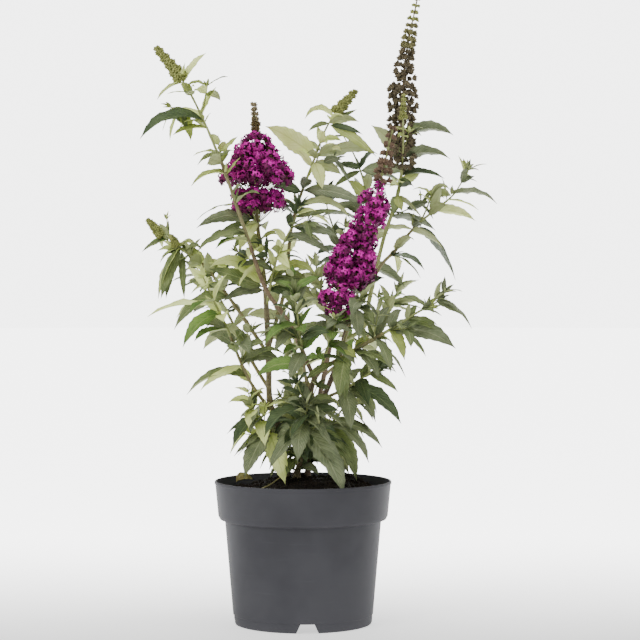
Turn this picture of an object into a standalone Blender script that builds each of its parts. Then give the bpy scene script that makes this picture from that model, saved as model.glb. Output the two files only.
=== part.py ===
"""Potted butterfly bush: a nursery pot of compost with a young, many-caned shrub.

Metres, +Z up. The origin is on the floor, in the middle of the pot's flat underside.
Each shoot runs along one smooth line. Its lower stretch is a limb, and the rest is a mass:
the stem with its opposite leaves, side twigs and bloom fused on.
"""

import math
import random
from collections import namedtuple

import bmesh
import bpy
from mathutils import Quaternion, Vector
from mathutils.bvhtree import BVHTree

GAP = 0.0003  # between pieces that touch
WELD = 0.000002  # joins the corners that a Boolean leaves doubled
SCRAP = 6  # a loose piece with fewer faces is a splinter and not a leaf

# The pot: a moulded container with a deep collar and a hollow foot
POT_SIDES = 40
RIM_RADIUS = 0.115
RIM_HEIGHT = 0.185
COLLAR_RADIUS = 0.1104
COLLAR_HEIGHT = 0.140
NECK_RADIUS = 0.1018
NECK_HEIGHT = 0.134
FOOT_RADIUS = 0.0900
FOOT_HEIGHT = 0.0115
WALL = 0.0018
LIP = 0.0026  # thickness of the rolled lip
LIP_DEPTH = 0.0036
SHOULDER = 0.0022  # rounding under the collar
FLOOR_HEIGHT = 0.0150
PAD_RADIUS = 0.020  # the flat pad in the middle of the underside
FOOT_RING = 0.0044  # width of the ring that the pot stands on
FOOT_ROUND = 0.0012
NOTCHES = 4
NOTCH_TURN = math.radians(-86)
NOTCH_FOOT = 0.0285
NOTCH_TOP = 0.0180
NOTCH_DROP = 0.004  # how far the cutter reaches below the floor
NOTCH_INSIDE = 0.012  # and how far in and out from the foot's edge
NOTCH_OUTSIDE = 0.006

# The compost: filled to under the rim and heaped up round the canes
SOIL_SIDES = 20
SOIL_EDGE = 0.171
SOIL_TOP = 0.190
SOIL_FLAT_RADIUS = 0.032
SOIL_RINGS = (0.098, 0.080, 0.062, 0.046)
SOIL_ROUGHNESS = 0.0022
HEAP_SPREAD = 0.069
HEAP_STEEPNESS = 3.2
CLOD = (0.060, 0.052)
CLOD_HEIGHT = 0.012
CLOD_SPREAD = 0.0205

# Leaves: lance-shaped, in opposite pairs, each pair crossing the one below
LEAF_STEPS = (0.0, 0.27, 0.62, 1.0)
LEAF_SHAPE = (0.0, 1.0, 0.72, 0.0)
SMALL_STEPS = (0.0, 0.36, 1.0)
SMALL_SHAPE = (0.0, 1.0, 0.0)
LEAF_SLIM = 0.29  # width for each unit of length
KEEL = 1 / 38  # depth of the midrib for each unit of length
GUARD = 0.0009  # room kept round a leaf
BARE_ROOT = 0.2  # the share of a leaf, next to its stem, that may touch its neighbours
FIRST_PAIR = 0.08  # share of the stem below its first pair
CROWDING = 0.85  # under 1, pairs stand closer towards the tip
WANDER = 16  # degrees that a pair strays from its right angle
LEAF_TAPER = (1.08, 0.5)  # size at the foot of the stem, and what is lost by its tip
LEAF_RISE = (18, 30)  # degrees at the foot of the stem, and what is gained by its tip
LEAF_SAG = (0.46, 0.22)  # of a leaf's length, at the foot, and what is lost by the tip
FOOT_DROOP = 34  # degrees that the leaves nearest the soil hang lower
FOOT_SAG = 1.5
TWIG_CHANCE = 0.62  # that a pair of leaves has a side twig in its axil
TRIES = (0, 24, -24, 48, -48)  # degrees that a leaf turns to find room

# Side twigs: straight, with two pairs of small leaves
TWIG_LENGTH = (0.030, 0.052)
TWIG_LEAN = (38, 58)  # degrees out from the stem's side towards its tip
TWIG_RADII = (0.0015, 0.0011)
TWIG_PAIRS = (0.52, 0.93)
TWIG_LEAF = (0.026, 0.040)

# Stems are faceted tubes
STEM_STEP = 0.030
FLARE = 0.0018  # how much wider a cane is where it leaves the compost
FLARE_HEIGHT = 0.012
SHEATH = 0.0002  # room kept round a mass's stem
BROAD_SPIKE = 10  # mm, the reach from which a spike of buds has more sides
STEM_SIDES = 6
MASS_SIDES = 5
TWIG_SIDES = 3

BARK = (0.23, 0.17, 0.12)
LEAF_GREEN = (0.13, 0.19, 0.07)
MAGENTA = (0.28, 0.012, 0.16)
SPENT = (0.055, 0.035, 0.028)
POT_GREY = (0.085, 0.088, 0.095)
COMPOST = (0.018, 0.012, 0.008)

# A shoot's line runs through its points, from its foot to its tip. It is a limb for the share
# `bare` of its length, and a mass from there on. `on` is the limb that carries it and how far
# along that limb's whole shoot; a cane's foot stands on the compost instead.
Shoot = namedtuple("Shoot", "limb mass on line bare foot tip pairs leaf turn marked heads")
# One leaf set by hand: share of the mass's stem, compass and rise in degrees, length, sag in mm.
Marked = namedtuple("Marked", "share compass rise length sag")
# A flower head between two shares of the mass's stem. An open head has its radii in mm, evenly
# spaced. A spike of buds has its number of whorls and their reach in mm at its foot and tip.
Head = namedtuple("Head", "start end radii")
Spike = namedtuple("Spike", "start end whorls foot tip")
Leaf = namedtuple("Leaf", "root ahead length sag roll steps shape")

SHOOTS = (
    Shoot("cane_left", "bloom_centre", None,
          ((-0.023, -0.001, SOIL_TOP), (-0.032, -0.008, 0.254), (-0.043, -0.008, 0.290), (-0.045, 0, 0.352),
           (-0.049, 0.004, 0.432), (-0.056, 0.006, 0.491), (-0.060, 0.006, 0.534), (-0.061, 0.006, 0.634),
           (-0.064, 0.006, 0.675)),
          0.50, 4.1, 0.9, 5, 64, 0,
          (Marked(0.04, 176, 40, 82, 20), Marked(0.08, -20, 30, 55, 30), Marked(0.20, 200, 62, 50, 4),
           Marked(0.10, 215, 10, 60, 30)),
          (Head(0.41, 0.55, (9, 34, 37, 28, 8)), Head(0.56, 0.845, (12, 40, 43, 40, 34, 25, 10)),
           Spike(0.84, 0.99, 6, 6.5, 3))),
    Shoot("cane_right", "bloom_right", None,
          ((0.005, -0.001, SOIL_TOP), (0.021, -0.010, 0.274), (0.041, -0.025, 0.330), (0.054, -0.040, 0.375),
           (0.062, -0.050, 0.410), (0.069, -0.058, 0.469), (0.085, -0.062, 0.516), (0.096, -0.060, 0.560),
           (0.115, -0.050, 0.639)),
          0.47, 3.8, 0.9, 1, 55, 60,
          (Marked(0.05, -60, 10, 58, 34),),
          (Head(0.17, 0.72, (12, 35, 30, 27, 27, 24, 22, 17, 12, 6)), Spike(0.74, 0.99, 8, 7, 3))),
    Shoot("cane_front", "foliage_lower_right", None,
          ((-0.008, -0.013, SOIL_TOP), (0.001, -0.030, 0.240), (0.008, -0.045, 0.286), (0.018, -0.052, 0.325),
           (0.054, -0.070, 0.350), (0.113, -0.100, 0.386), (0.144, -0.110, 0.406), (0.168, -0.115, 0.419),
           (0.177, -0.120, 0.431)),
          0.50, 3.8, 0.8, 6, 55, 80,
          (Marked(0.48, -6, 12, 88, 40), Marked(0.82, 172, 40, 44, 18), Marked(0.92, -12, -8, 44, 30),
           Marked(0.16, -40, 4, 66, 24), Marked(0.10, -100, -30, 62, 22)),
          ()),
    Shoot("cane_back", "foliage_back_top", None,
          ((-0.009, 0.013, SOIL_TOP), (0.011, 0.035, 0.248), (0.029, 0.060, 0.326), (0.049, 0.080, 0.418),
           (0.080, 0.098, 0.490), (0.084, 0.110, 0.559), (0.071, 0.120, 0.607), (0.053, 0.125, 0.641)),
          0.52, 3.6, 0.8, 6, 66, 20,
          (Marked(0.45, 170, 30, 74, 30), Marked(0.70, 10, 25, 60, 30)),
          ()),
    Shoot("bough_top_left", "foliage_top_left", ("cane_front", 0.395),
          ((-0.016, -0.050, 0.388), (-0.047, -0.045, 0.434), (-0.069, -0.045, 0.495), (-0.099, -0.055, 0.583),
           (-0.125, -0.065, 0.647), (-0.150, -0.075, 0.695), (-0.184, -0.085, 0.738)),
          0.40, 2.9, 0.7, 4, 50, 0,
          (Marked(0.61, -168, 16, 84, 48), Marked(0.80, 8, 58, 54, 8), Marked(0.35, 178, 8, 44, 22),
           Marked(0.06, -170, 6, 64, 30), Marked(0.62, 2, 32, 46, 38), Marked(0.60, 150, 36, 48, 8),
           Marked(0.63, 40, 62, 50, 6), Marked(0.34, 20, 55, 34, 4), Marked(0.80, 190, -10, 34, 16)),
          (Spike(0.82, 0.99, 8, 9, 3.5),)),
    Shoot("bough_left", "foliage_left", ("cane_left", 0.33),
          ((-0.074, -0.003, 0.392), (-0.105, 0, 0.435), (-0.129, 0.005, 0.465), (-0.154, 0.012, 0.482),
           (-0.176, 0.018, 0.496), (-0.203, 0.020, 0.524)),
          0.30, 2.6, 0.6, 6, 50, 90,
          (Marked(0.66, -125, -38, 56, 30), Marked(0.67, 20, 50, 36, 26), Marked(0.46, -8, 14, 46, 32),
           Marked(0.10, -176, 4, 72, 46), Marked(0.80, 100, 10, 40, 20)),
          (Spike(0.84, 0.99, 6, 5, 2.5),)),
    Shoot("bough_left_front", "foliage_left_front", ("cane_left", 0.17),
          ((-0.070, -0.030, 0.319), (-0.096, -0.065, 0.385), (-0.112, -0.090, 0.421), (-0.124, -0.108, 0.450)),
          0.22, 2.4, 0.8, 6, 66, 30,
          (Marked(0.08, 178, 15, 82, 44), Marked(0.72, 176, 10, 90, 28), Marked(0.66, -170, -10, 48, 34)),
          ()),
    Shoot("bough_left_back", "foliage_left_back", ("cane_left", 0.24),
          ((-0.066, 0.025, 0.337), (-0.089, 0.055, 0.379), (-0.114, 0.082, 0.424), (-0.144, 0.095, 0.462)),
          0.25, 2.4, 0.8, 6, 66, 60,
          (Marked(0.55, 178, 20, 70, 36),),
          ()),
    Shoot("bough_top_centre", "foliage_top_centre", ("cane_left", 0.345),
          ((-0.034, 0.020, 0.396), (-0.023, 0.035, 0.439), (-0.014, 0.060, 0.523), (0.014, 0.080, 0.605),
           (0.035, 0.085, 0.656), (0.070, 0.090, 0.698)),
          0.27, 2.8, 0.7, 6, 58, 90,
          (Marked(0.62, 178, 42, 90, 20), Marked(0.62, -2, 25, 92, 36), Marked(0.34, 0, 25, 80, 46),
           Marked(0.83, 178, 40, 50, 34), Marked(0.86, 8, 45, 44, 4), Marked(0.36, 176, 20, 70, 34)),
          (Spike(0.86, 0.99, 6, 8, 3.5),)),
    Shoot("bough_centre_front", "foliage_centre_front", ("cane_left", 0.46),
          ((-0.036, -0.020, 0.465), (-0.024, -0.035, 0.494), (-0.011, -0.045, 0.520), (-0.003, -0.050, 0.541)),
          0.16, 2.0, 0.7, 5, 52, 10,
          (Marked(0.10, -12, 6, 56, 26), Marked(0.55, -10, 30, 62, 34)),
          ()),
    Shoot("bough_tall", "spent_spike", ("cane_right", 0.40),
          ((0.079, -0.005, 0.385), (0.086, 0.010, 0.419), (0.105, 0.030, 0.498), (0.122, 0.035, 0.550),
           (0.130, 0.035, 0.596), (0.130, 0.035, 0.655), (0.134, 0.035, 0.734), (0.149, 0.030, 0.812)),
          0.30, 3.0, 0.6, 2, 60, 30,
          (Marked(0.47, -8, 25, 74, 30), Marked(0.39, -14, 20, 68, 26), Marked(0.32, 16, 12, 62, 16),
           Marked(0.35, 178, 50, 50, 4), Marked(0.28, 196, 10, 62, 34), Marked(0.24, -30, -20, 42, 20)),
          (Spike(0.34, 0.63, 9, 19, 19), Spike(0.64, 0.99, 14, 15, 4))),
    Shoot("bough_right", "foliage_right", ("cane_right", 0.435),
          ((0.097, 0.000, 0.458), (0.121, 0.020, 0.4845), (0.150, 0.040, 0.518), (0.191, 0.050, 0.551),
           (0.204, 0.053, 0.566), (0.218, 0.055, 0.591)),
          0.33, 2.7, 0.6, 5, 56, 90,
          (Marked(0.44, -14, -16, 56, 54), Marked(0.80, -2, 14, 60, 28), Marked(0.78, 176, 22, 40, 18),
           Marked(0.62, -28, 8, 60, 22), Marked(0.16, -30, -8, 44, 24), Marked(0.14, 0, 18, 54, 34),
           Marked(0.42, 170, 12, 60, 22), Marked(0.95, 70, 60, 30, 2), Marked(0.95, 200, 72, 30, 2)),
          ()),
    Shoot("bough_lower_bloom", "bloom_lower", ("cane_front", 0.43),
          ((0.028, -0.068, 0.350), (0.038, -0.085, 0.379), (0.043, -0.092, 0.404), (0.045, -0.094, 0.444)),
          0.20, 2.0, 0.8, 3, 50, 0,
          (Marked(0.35, -10, 20, 58, 30), Marked(0.35, 172, 20, 56, 30)),
          (Head(0.60, 0.98, (8, 24, 27, 20, 8)),)),
    Shoot("bough_front", "foliage_front", ("cane_front", 0.30),
          ((0.001, -0.080, 0.345), (-0.005, -0.110, 0.394), (-0.010, -0.122, 0.430)),
          0.20, 2.2, 0.7, 6, 64, 0, (), ()),
    Shoot("bough_front_right", "foliage_front_right", ("cane_right", 0.36),
          ((0.062, -0.076, 0.396), (0.078, -0.118, 0.430), (0.086, -0.136, 0.462)),
          0.30, 2.2, 0.7, 6, 58, 40,
          (Marked(0.30, -24, -8, 60, 46), Marked(0.12, -110, -50, 52, 12), Marked(0.16, 10, 10, 46, 40)), ()),
    Shoot("bough_low_right", "foliage_low_right", ("cane_right", 0.225),
          ((0.054, -0.036, 0.306), (0.080, -0.056, 0.324), (0.102, -0.064, 0.338)),
          0.15, 2.2, 0.8, 5, 62, 70,
          (Marked(0.30, -10, 0, 70, 46), Marked(0.45, -50, -20, 46, 20), Marked(0.16, -30, 6, 52, 44)),
          ()),
    Shoot("bough_back_left", "foliage_back_left", ("cane_back", 0.20),
          ((-0.006, 0.090, 0.338), (-0.028, 0.130, 0.384), (-0.040, 0.146, 0.424)),
          0.22, 2.3, 0.7, 6, 68, 20, (), ()),
    Shoot("bough_back", "foliage_back", ("cane_back", 0.37),
          ((0.029, 0.112, 0.404), (0.019, 0.142, 0.448), (0.014, 0.152, 0.490)),
          0.22, 2.2, 0.7, 6, 60, 70, (), ()),
    Shoot("bough_back_right", "foliage_back_right", ("cane_back", 0.29),
          ((0.068, 0.086, 0.352), (0.106, 0.110, 0.392), (0.130, 0.122, 0.436)),
          0.25, 2.3, 0.7, 6, 66, 0, (), ()),
    Shoot("bough_back_centre", "foliage_back_centre", ("cane_back", 0.475),
          ((0.052, 0.100, 0.469), (0.041, 0.115, 0.511), (0.033, 0.120, 0.537), (0.029, 0.120, 0.560)),
          0.20, 2.0, 0.7, 5, 60, 45, (), ()),
    Shoot(None, "foliage_foot_left", ("cane_left", 0.09),
          ((-0.050, -0.020, 0.256), (-0.066, -0.032, 0.284)),
          0, 2.0, 0.8, 6, 66, 10,
          (Marked(0.40, -120, -30, 66, 24), Marked(0.42, 178, 50, 62, 55)), ()),
    Shoot(None, "foliage_foot_front", ("cane_front", 0.12),
          ((0.002, -0.056, 0.262), (0.006, -0.074, 0.290)),
          0, 2.0, 0.8, 6, 74, 50,
          (Marked(0.45, -65, -40, 88, 24), Marked(0.80, -150, 20, 64, 50)), ()),
    Shoot(None, "foliage_foot_right", ("cane_right", 0.11),
          ((0.036, 0.004, 0.258), (0.056, 0.012, 0.284)),
          0, 2.0, 0.8, 6, 68, 80,
          (Marked(0.35, -34, 6, 66, 50), Marked(0.50, -4, 5, 66, 38)), ()),
    Shoot(None, "foliage_foot_back", ("cane_back", 0.11),
          ((-0.004, 0.050, 0.258), (-0.016, 0.070, 0.286)),
          0, 2.0, 0.8, 6, 68, 30, (), ()),
)


class Course:
    """A smooth line through a few points, measured along its length."""

    def __init__(self, knots):
        knots = [Vector(k) for k in knots]
        ends = [knots[0] * 2 - knots[1], *knots, knots[-1] * 2 - knots[-2]]
        self.points = [knots[0]]
        for a, b, c, d in zip(ends, ends[1:], ends[2:], ends[3:]):
            steps = max(2, round((c - b).length / 0.002))
            for i in range(1, steps + 1):
                t = i / steps
                self.points.append(
                    0.5 * (2 * b + (c - a) * t + (2 * a - 5 * b + 4 * c - d) * t**2
                           + (3 * b - 3 * c + d - a) * t**3)
                )
        self.reach = [0.0]
        for a, b in zip(self.points, self.points[1:]):
            self.reach.append(self.reach[-1] + (b - a).length)
        self.length = self.reach[-1]

    def at(self, way):
        way = min(max(way, 0.0), self.length)
        i = 1
        while i < len(self.reach) - 1 and self.reach[i] < way:
            i += 1
        share = (way - self.reach[i - 1]) / (self.reach[i] - self.reach[i - 1])
        return self.points[i - 1].lerp(self.points[i], share)

    def heading(self, way):
        return (self.at(way + 0.003) - self.at(way - 0.003)).normalized()


class Stem:
    """A stretch of a course, from `start` to `end` along it, with a taper."""

    def __init__(self, course, start, end, foot_radius, tip_radius):
        self.course = course
        self.start = start
        self.end = end
        self.foot_radius = foot_radius
        self.tip_radius = tip_radius

    def way(self, share):
        return self.start + (self.end - self.start) * share

    def radius(self, way):
        return self.foot_radius + (self.tip_radius - self.foot_radius) * way / self.course.length

    def stations(self):
        count = max(2, round((self.end - self.start) / STEM_STEP) + 1)
        return [self.start + (self.end - self.start) * i / (count - 1) for i in range(count)]

    def heart(self, share):
        """The middle of the faceted tube at a share of the stretch."""
        way = self.way(share)
        ways = self.stations()
        i = max(1, min(len(ways) - 1, sum(station < way for station in ways)))
        part = (way - ways[i - 1]) / (ways[i] - ways[i - 1])
        return self.course.at(ways[i - 1]).lerp(self.course.at(ways[i]), part)

    def tube(self, sides, extra=0.0, flare=0.0, until=None):
        """Corners and faces of the stretch, `extra` fatter, and wider by `flare` at its foot."""
        ways = self.stations()
        if until:
            ways = [way for way in ways if way < until - 0.002] + [until]
        if flare:
            ways[1:1] = [self.start + FLARE_HEIGHT]
        rings = []
        across = self.course.heading(ways[0]).orthogonal()
        for i, way in enumerate(ways):
            ahead = self.course.heading(way)
            if flare and i == 0:
                ahead = Vector((0, 0, 1))
            across = (across - ahead * across.dot(ahead)).normalized()
            radius = self.radius(way) + extra + (flare if i == 0 else 0)
            rings.append((self.course.at(way), ahead, across.copy(), radius))
        return loft(rings, sides)


def loft(rings, sides):
    """A closed tube through (middle, heading, across, radius) rings."""
    corners = []
    faces = []
    for middle, ahead, across, radius in rings:
        up = ahead.cross(across)
        for side in range(sides):
            turn = math.tau * side / sides
            corners.append(middle + (across * math.cos(turn) + up * math.sin(turn)) * radius)
    for ring in range(len(rings) - 1):
        low = ring * sides
        for side in range(sides):
            beside = (side + 1) % sides
            faces.append((low + side, low + beside, low + sides + beside, low + sides + side))
    faces.append(tuple(reversed(range(sides))))
    faces.append(tuple(range(len(corners) - sides, len(corners))))
    return corners, faces


def knob(stem, head, chance):
    """The body of an open flower head: a closed knobbly form round the stem."""
    sides = 12
    rings = 2 * len(head.radii) - 1
    low, high = stem.way(head.start), stem.way(head.end)
    corners = [stem.course.at(low - 0.002)]
    for ring in range(rings):
        share = ring / (rings - 1)
        place = share * (len(head.radii) - 1)
        below = min(int(place), len(head.radii) - 2)
        radius = head.radii[below] + (head.radii[below + 1] - head.radii[below]) * (place - below)
        middle = stem.course.at(low + (high - low) * share)
        for side in range(sides):
            turn = math.tau * (side + chance.uniform(-0.15, 0.15)) / sides
            bump = 1.0 if (side + ring) % 2 else 0.80
            reach = radius * bump * chance.uniform(0.95, 1.05) / 1000
            lift = chance.uniform(-0.0012, 0.0012)
            corners.append(middle + Vector((math.cos(turn) * reach, math.sin(turn) * reach, lift)))
    corners.append(stem.course.at(high + 0.002))
    return corners, ring_faces(len(corners), sides)


def spindle(stem, spike, chance):
    """A spike of buds: a closed form whose rings reach out in opposite lobes, each pair crossing
    the one below, and draw in to the stem between them."""
    sides = 8 if spike.foot > BROAD_SPIKE else 4
    low, high = stem.way(spike.start), stem.way(spike.end)
    corners = [stem.course.at(low - 0.001)]
    side = stem.course.heading(low).orthogonal().normalized()
    for ring in range(2 * spike.whorls):
        share = ring / (2 * spike.whorls - 1)
        way = low + (high - low) * share
        ahead = stem.course.heading(way)
        side = (side - ahead * side.dot(ahead)).normalized()
        up = ahead.cross(side)
        reach = (spike.foot + (spike.tip - spike.foot) * share) * chance.uniform(0.88, 1.08) / 1000
        core = max(reach * 0.34, stem.radius(way) * 1.7)
        for i in range(sides):
            turn = math.tau * i / sides
            crossing = (4 * i // sides + ring // 2) % 2
            lobe = 0.62 if crossing else 1.0
            if sides == 8 and i % 2:
                lobe = 0.5
            radius = max(reach * lobe, core) if ring % 2 else core
            corners.append(stem.course.at(way) + (side * math.cos(turn) + up * math.sin(turn)) * radius)
    corners.append(stem.course.at(high + 0.0005))
    return corners, ring_faces(len(corners), sides)


def ring_faces(count, sides):
    """The faces round stacked rings of corners, closed by a first and a last corner."""
    faces = []
    last = count - 1
    for i in range(sides):
        j = (i + 1) % sides
        faces.append((0, 1 + j, 1 + i))
        faces.append((last, last - sides + i, last - sides + j))
        for low in range(1, last - sides, sides):
            faces.append((low + i, low + j, low + sides + j))
            faces.append((low + i, low + sides + j, low + sides + i))
    return faces


def leaf_solid(leaf, extra=0.0, from_share=0.0):
    """A blade with a flat face above and a keel below, pointed at its root and at its tip."""
    flat = Vector((leaf.ahead.x, leaf.ahead.y, 0))
    if flat.length < 0.15:
        flat = Vector((1, 0, 0))
    level = Vector((-flat.y, flat.x, 0)).normalized()
    corners = []
    for step, wide in zip(leaf.steps, leaf.shape):
        step = max(step, from_share)
        middle = leaf.root + leaf.ahead * leaf.length * step - Vector((0, 0, leaf.sag * step**2))
        if not wide:
            corners.append(middle)
            continue
        along = (leaf.ahead * leaf.length - Vector((0, 0, 2 * leaf.sag * step))).normalized()
        across = (level - along * level.dot(along)).normalized()
        across.rotate(Quaternion(along, leaf.roll))
        above = along.cross(across)
        half = leaf.length * LEAF_SLIM * wide / 2 + extra
        deep = leaf.length * KEEL * wide + extra
        corners += [middle + across * half + above * extra, middle - across * half + above * extra,
                    middle - above * deep]
    last = len(corners) - 1
    faces = []
    for i in range(3):
        j = (i + 1) % 3
        faces.append((0, 1 + j, 1 + i))
        faces.append((last, last - 3 + i, last - 3 + j))
        for low in range(1, last - 3, 3):
            faces.append((low + i, low + j, low + 3 + j, low + 3 + i))
    return corners, faces


def leaf_on(stem, share, out, rise, length, sag, roll, small=False):
    """A leaf that stands out from the stem by `out`, raised towards the stem's own heading."""
    steps, shape = (SMALL_STEPS, SMALL_SHAPE) if small else (LEAF_STEPS, LEAF_SHAPE)
    ahead = out * math.cos(rise) + stem.course.heading(stem.way(share)) * math.sin(rise)
    return Leaf(stem.heart(share), ahead.normalized(), length, sag, roll, steps, shape)


def compass(degrees, rise):
    flat = math.radians(degrees)
    up = math.radians(rise)
    return Vector((math.cos(flat) * math.cos(up), math.sin(flat) * math.cos(up), math.sin(up)))


def turned(leaf, degrees):
    """The same leaf swung round the upright through its root."""
    ahead = leaf.ahead.copy()
    ahead.rotate(Quaternion((0, 0, 1), math.radians(degrees)))
    return leaf._replace(ahead=ahead)


def top_share(shoot):
    """Where the leaves end and the shoot's flower head begins."""
    return min([head.start for head in shoot.heads] or [0.98]) - 0.01


def growth(shoot, stem):
    """What the rule grows up a mass's stem: ("leaf", leaf) and ("twig", stem, leaves) in turn."""
    chance = random.Random(shoot.mass)
    for mark in shoot.marked:
        roll = math.radians(chance.uniform(-45, 45))
        yield "leaf", Leaf(stem.heart(mark.share), compass(mark.compass, mark.rise),
                           mark.length / 1000, mark.sag / 1000, roll, LEAF_STEPS, LEAF_SHAPE)
    top = top_share(shoot)
    for pair in range(shoot.pairs):
        share = FIRST_PAIR + (top - FIRST_PAIR) * ((pair + 0.5) / shoot.pairs) ** CROWDING
        heading = stem.course.heading(stem.way(share))
        side = Vector((1, 0, 0)) - heading * heading.x
        side.normalize()
        side.rotate(Quaternion(heading, math.radians(shoot.turn + 90 * pair + chance.uniform(-WANDER, WANDER))))
        for hand in (1, -1):
            length = shoot.leaf * (LEAF_TAPER[0] - LEAF_TAPER[1] * share) * chance.uniform(0.82, 1.12) / 1000
            rise = LEAF_RISE[0] + LEAF_RISE[1] * share + chance.uniform(-9, 9)
            sag = length * (LEAF_SAG[0] - LEAF_SAG[1] * share) * chance.uniform(0.7, 1.25)
            if not shoot.limb:
                rise -= FOOT_DROOP
                sag *= FOOT_SAG
            roll = math.radians(chance.uniform(-50, 50))
            yield "leaf", leaf_on(stem, share, side * hand, math.radians(rise), length, sag, roll)
        hand = chance.choice((1, -1))
        found = side_twig(stem, share, side * hand, chance)
        if chance.random() < TWIG_CHANCE:
            yield ("twig", *found)


def side_twig(stem, share, out, chance):
    """A short twig from a leaf's axil, with two small pairs and a pair at its tip."""
    foot = stem.heart(share)
    up = stem.course.heading(stem.way(share))
    length = chance.uniform(*TWIG_LENGTH) * (1.1 - 0.4 * share)
    lean = math.radians(chance.uniform(*TWIG_LEAN))
    ahead = out * math.cos(lean) + up * math.sin(lean)
    course = Course((foot, foot + ahead * length))
    twig = Stem(course, 0.0, course.length, *TWIG_RADII)
    leaves = []
    side = ahead.cross(up).normalized()
    for pair, place in enumerate(TWIG_PAIRS):
        side.rotate(Quaternion(ahead, math.radians(90 * pair + chance.uniform(-20, 20))))
        for hand in (1, -1):
            size = chance.uniform(*TWIG_LEAF) * (1.05 - 0.2 * pair)
            rise = math.radians(chance.uniform(15, 48))
            sag = size * chance.uniform(0.08, 0.4)
            roll = math.radians(chance.uniform(-30, 30))
            leaves.append(leaf_on(twig, place, side * hand, rise, size, sag, roll, small=True))
    return twig, leaves


def tree_of(shape):
    corners, faces = shape
    return BVHTree.FromPolygons(corners, faces)


def box_of(shape):
    corners = shape[0]
    return [min(c[k] for c in corners) for k in range(3)], [max(c[k] for c in corners) for k in range(3)]


class Room:
    """Keeps every leaf and twig clear of what already stands."""

    def __init__(self):
        self.standing = []

    def add(self, shape, owner):
        self.standing.append((*box_of(shape), tree_of(shape), owner))

    def clear(self, whole, outer, owner):
        """True where `whole` misses what others own, and `outer` misses what its owner has."""
        low, high = box_of(whole)
        trees = {True: tree_of(outer), False: tree_of(whole)}
        for near, far, other, holder in self.standing:
            if all(low[k] <= far[k] and near[k] <= high[k] for k in range(3)):
                if trees[holder == owner].overlap(other):
                    return False
        return True


def new_object(name, shape):
    mesh = bpy.data.meshes.new(name)
    corners, faces = shape
    mesh.from_pydata([tuple(corner) for corner in corners], [], faces)
    obj = bpy.data.objects.new(name, mesh)
    bpy.context.scene.collection.objects.link(obj)
    return obj


def material(name, colour, roughness):
    made = bpy.data.materials.new(name)
    made.use_nodes = True
    shader = made.node_tree.nodes["Principled BSDF"]
    shader.inputs["Base Color"].default_value = (*colour, 1)
    shader.inputs["Roughness"].default_value = roughness
    return made


def remove(obj):
    mesh = obj.data
    bpy.data.objects.remove(obj)
    bpy.data.meshes.remove(mesh)


def apply_boolean(obj, operation, shapes):
    """Joins or cuts `obj` with closed shapes held in one collection, which is then removed."""
    group = bpy.data.collections.new("operands")
    bpy.context.scene.collection.children.link(group)
    for i, shape in enumerate(shapes):
        operand = new_object(f"operand_{i}", shape)
        bpy.context.scene.collection.objects.unlink(operand)
        group.objects.link(operand)
    cut = obj.modifiers.new("join", "BOOLEAN")
    cut.operation = operation
    cut.operand_type = "COLLECTION"
    cut.collection = group
    cut.solver = "EXACT"
    bpy.context.view_layer.update()
    seen = obj.evaluated_get(bpy.context.evaluated_depsgraph_get())
    mesh = bpy.data.meshes.new_from_object(seen)
    obj.modifiers.clear()
    old = obj.data
    obj.data = mesh
    bpy.data.meshes.remove(old)
    for operand in list(group.objects):
        remove(operand)
    bpy.data.collections.remove(group)


def islands(bm):
    """The groups of faces that hang together along shared edges, the smallest first."""
    groups = []
    waiting = set(bm.faces)
    while waiting:
        group = [waiting.pop()]
        for face in group:
            for edge in face.edges:
                for beside in edge.link_faces:
                    if beside in waiting:
                        waiting.remove(beside)
                        group.append(beside)
        groups.append(group)
    return sorted(groups, key=len)


def tidy(obj):
    """Welds doubled corners and keeps the largest body. Returns the faces of the leaves lost."""
    bm = bmesh.new()
    bm.from_mesh(obj.data)
    bmesh.ops.remove_doubles(bm, verts=bm.verts, dist=WELD)
    bmesh.ops.dissolve_degenerate(bm, edges=bm.edges, dist=WELD)
    bmesh.ops.triangulate(bm, faces=bm.faces)
    loose = islands(bm)[:-1]
    lost = sum(len(group) for group in loose if len(group) >= SCRAP)
    bmesh.ops.delete(bm, geom=[face for group in loose for face in group], context="FACES")
    bm.to_mesh(obj.data)
    bm.free()
    return lost


def turned_shape(name, profile, sides):
    """A closed form turned round the pot's axis from a profile of (radius, height)."""
    bm = bmesh.new()
    verts = [bm.verts.new((radius, 0, height)) for radius, height in profile]
    edges = [bm.edges.new(pair) for pair in zip(verts, verts[1:])]
    bmesh.ops.spin(bm, geom=verts + edges, cent=(0, 0, 0), axis=(0, 0, 1), angle=math.tau,
                   steps=sides, use_merge=True)
    bmesh.ops.remove_doubles(bm, verts=bm.verts, dist=0.00005)
    bmesh.ops.recalc_face_normals(bm, faces=bm.faces)
    mesh = bpy.data.meshes.new(name)
    bm.to_mesh(mesh)
    bm.free()
    obj = bpy.data.objects.new(name, mesh)
    bpy.context.scene.collection.objects.link(obj)
    return obj


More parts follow.
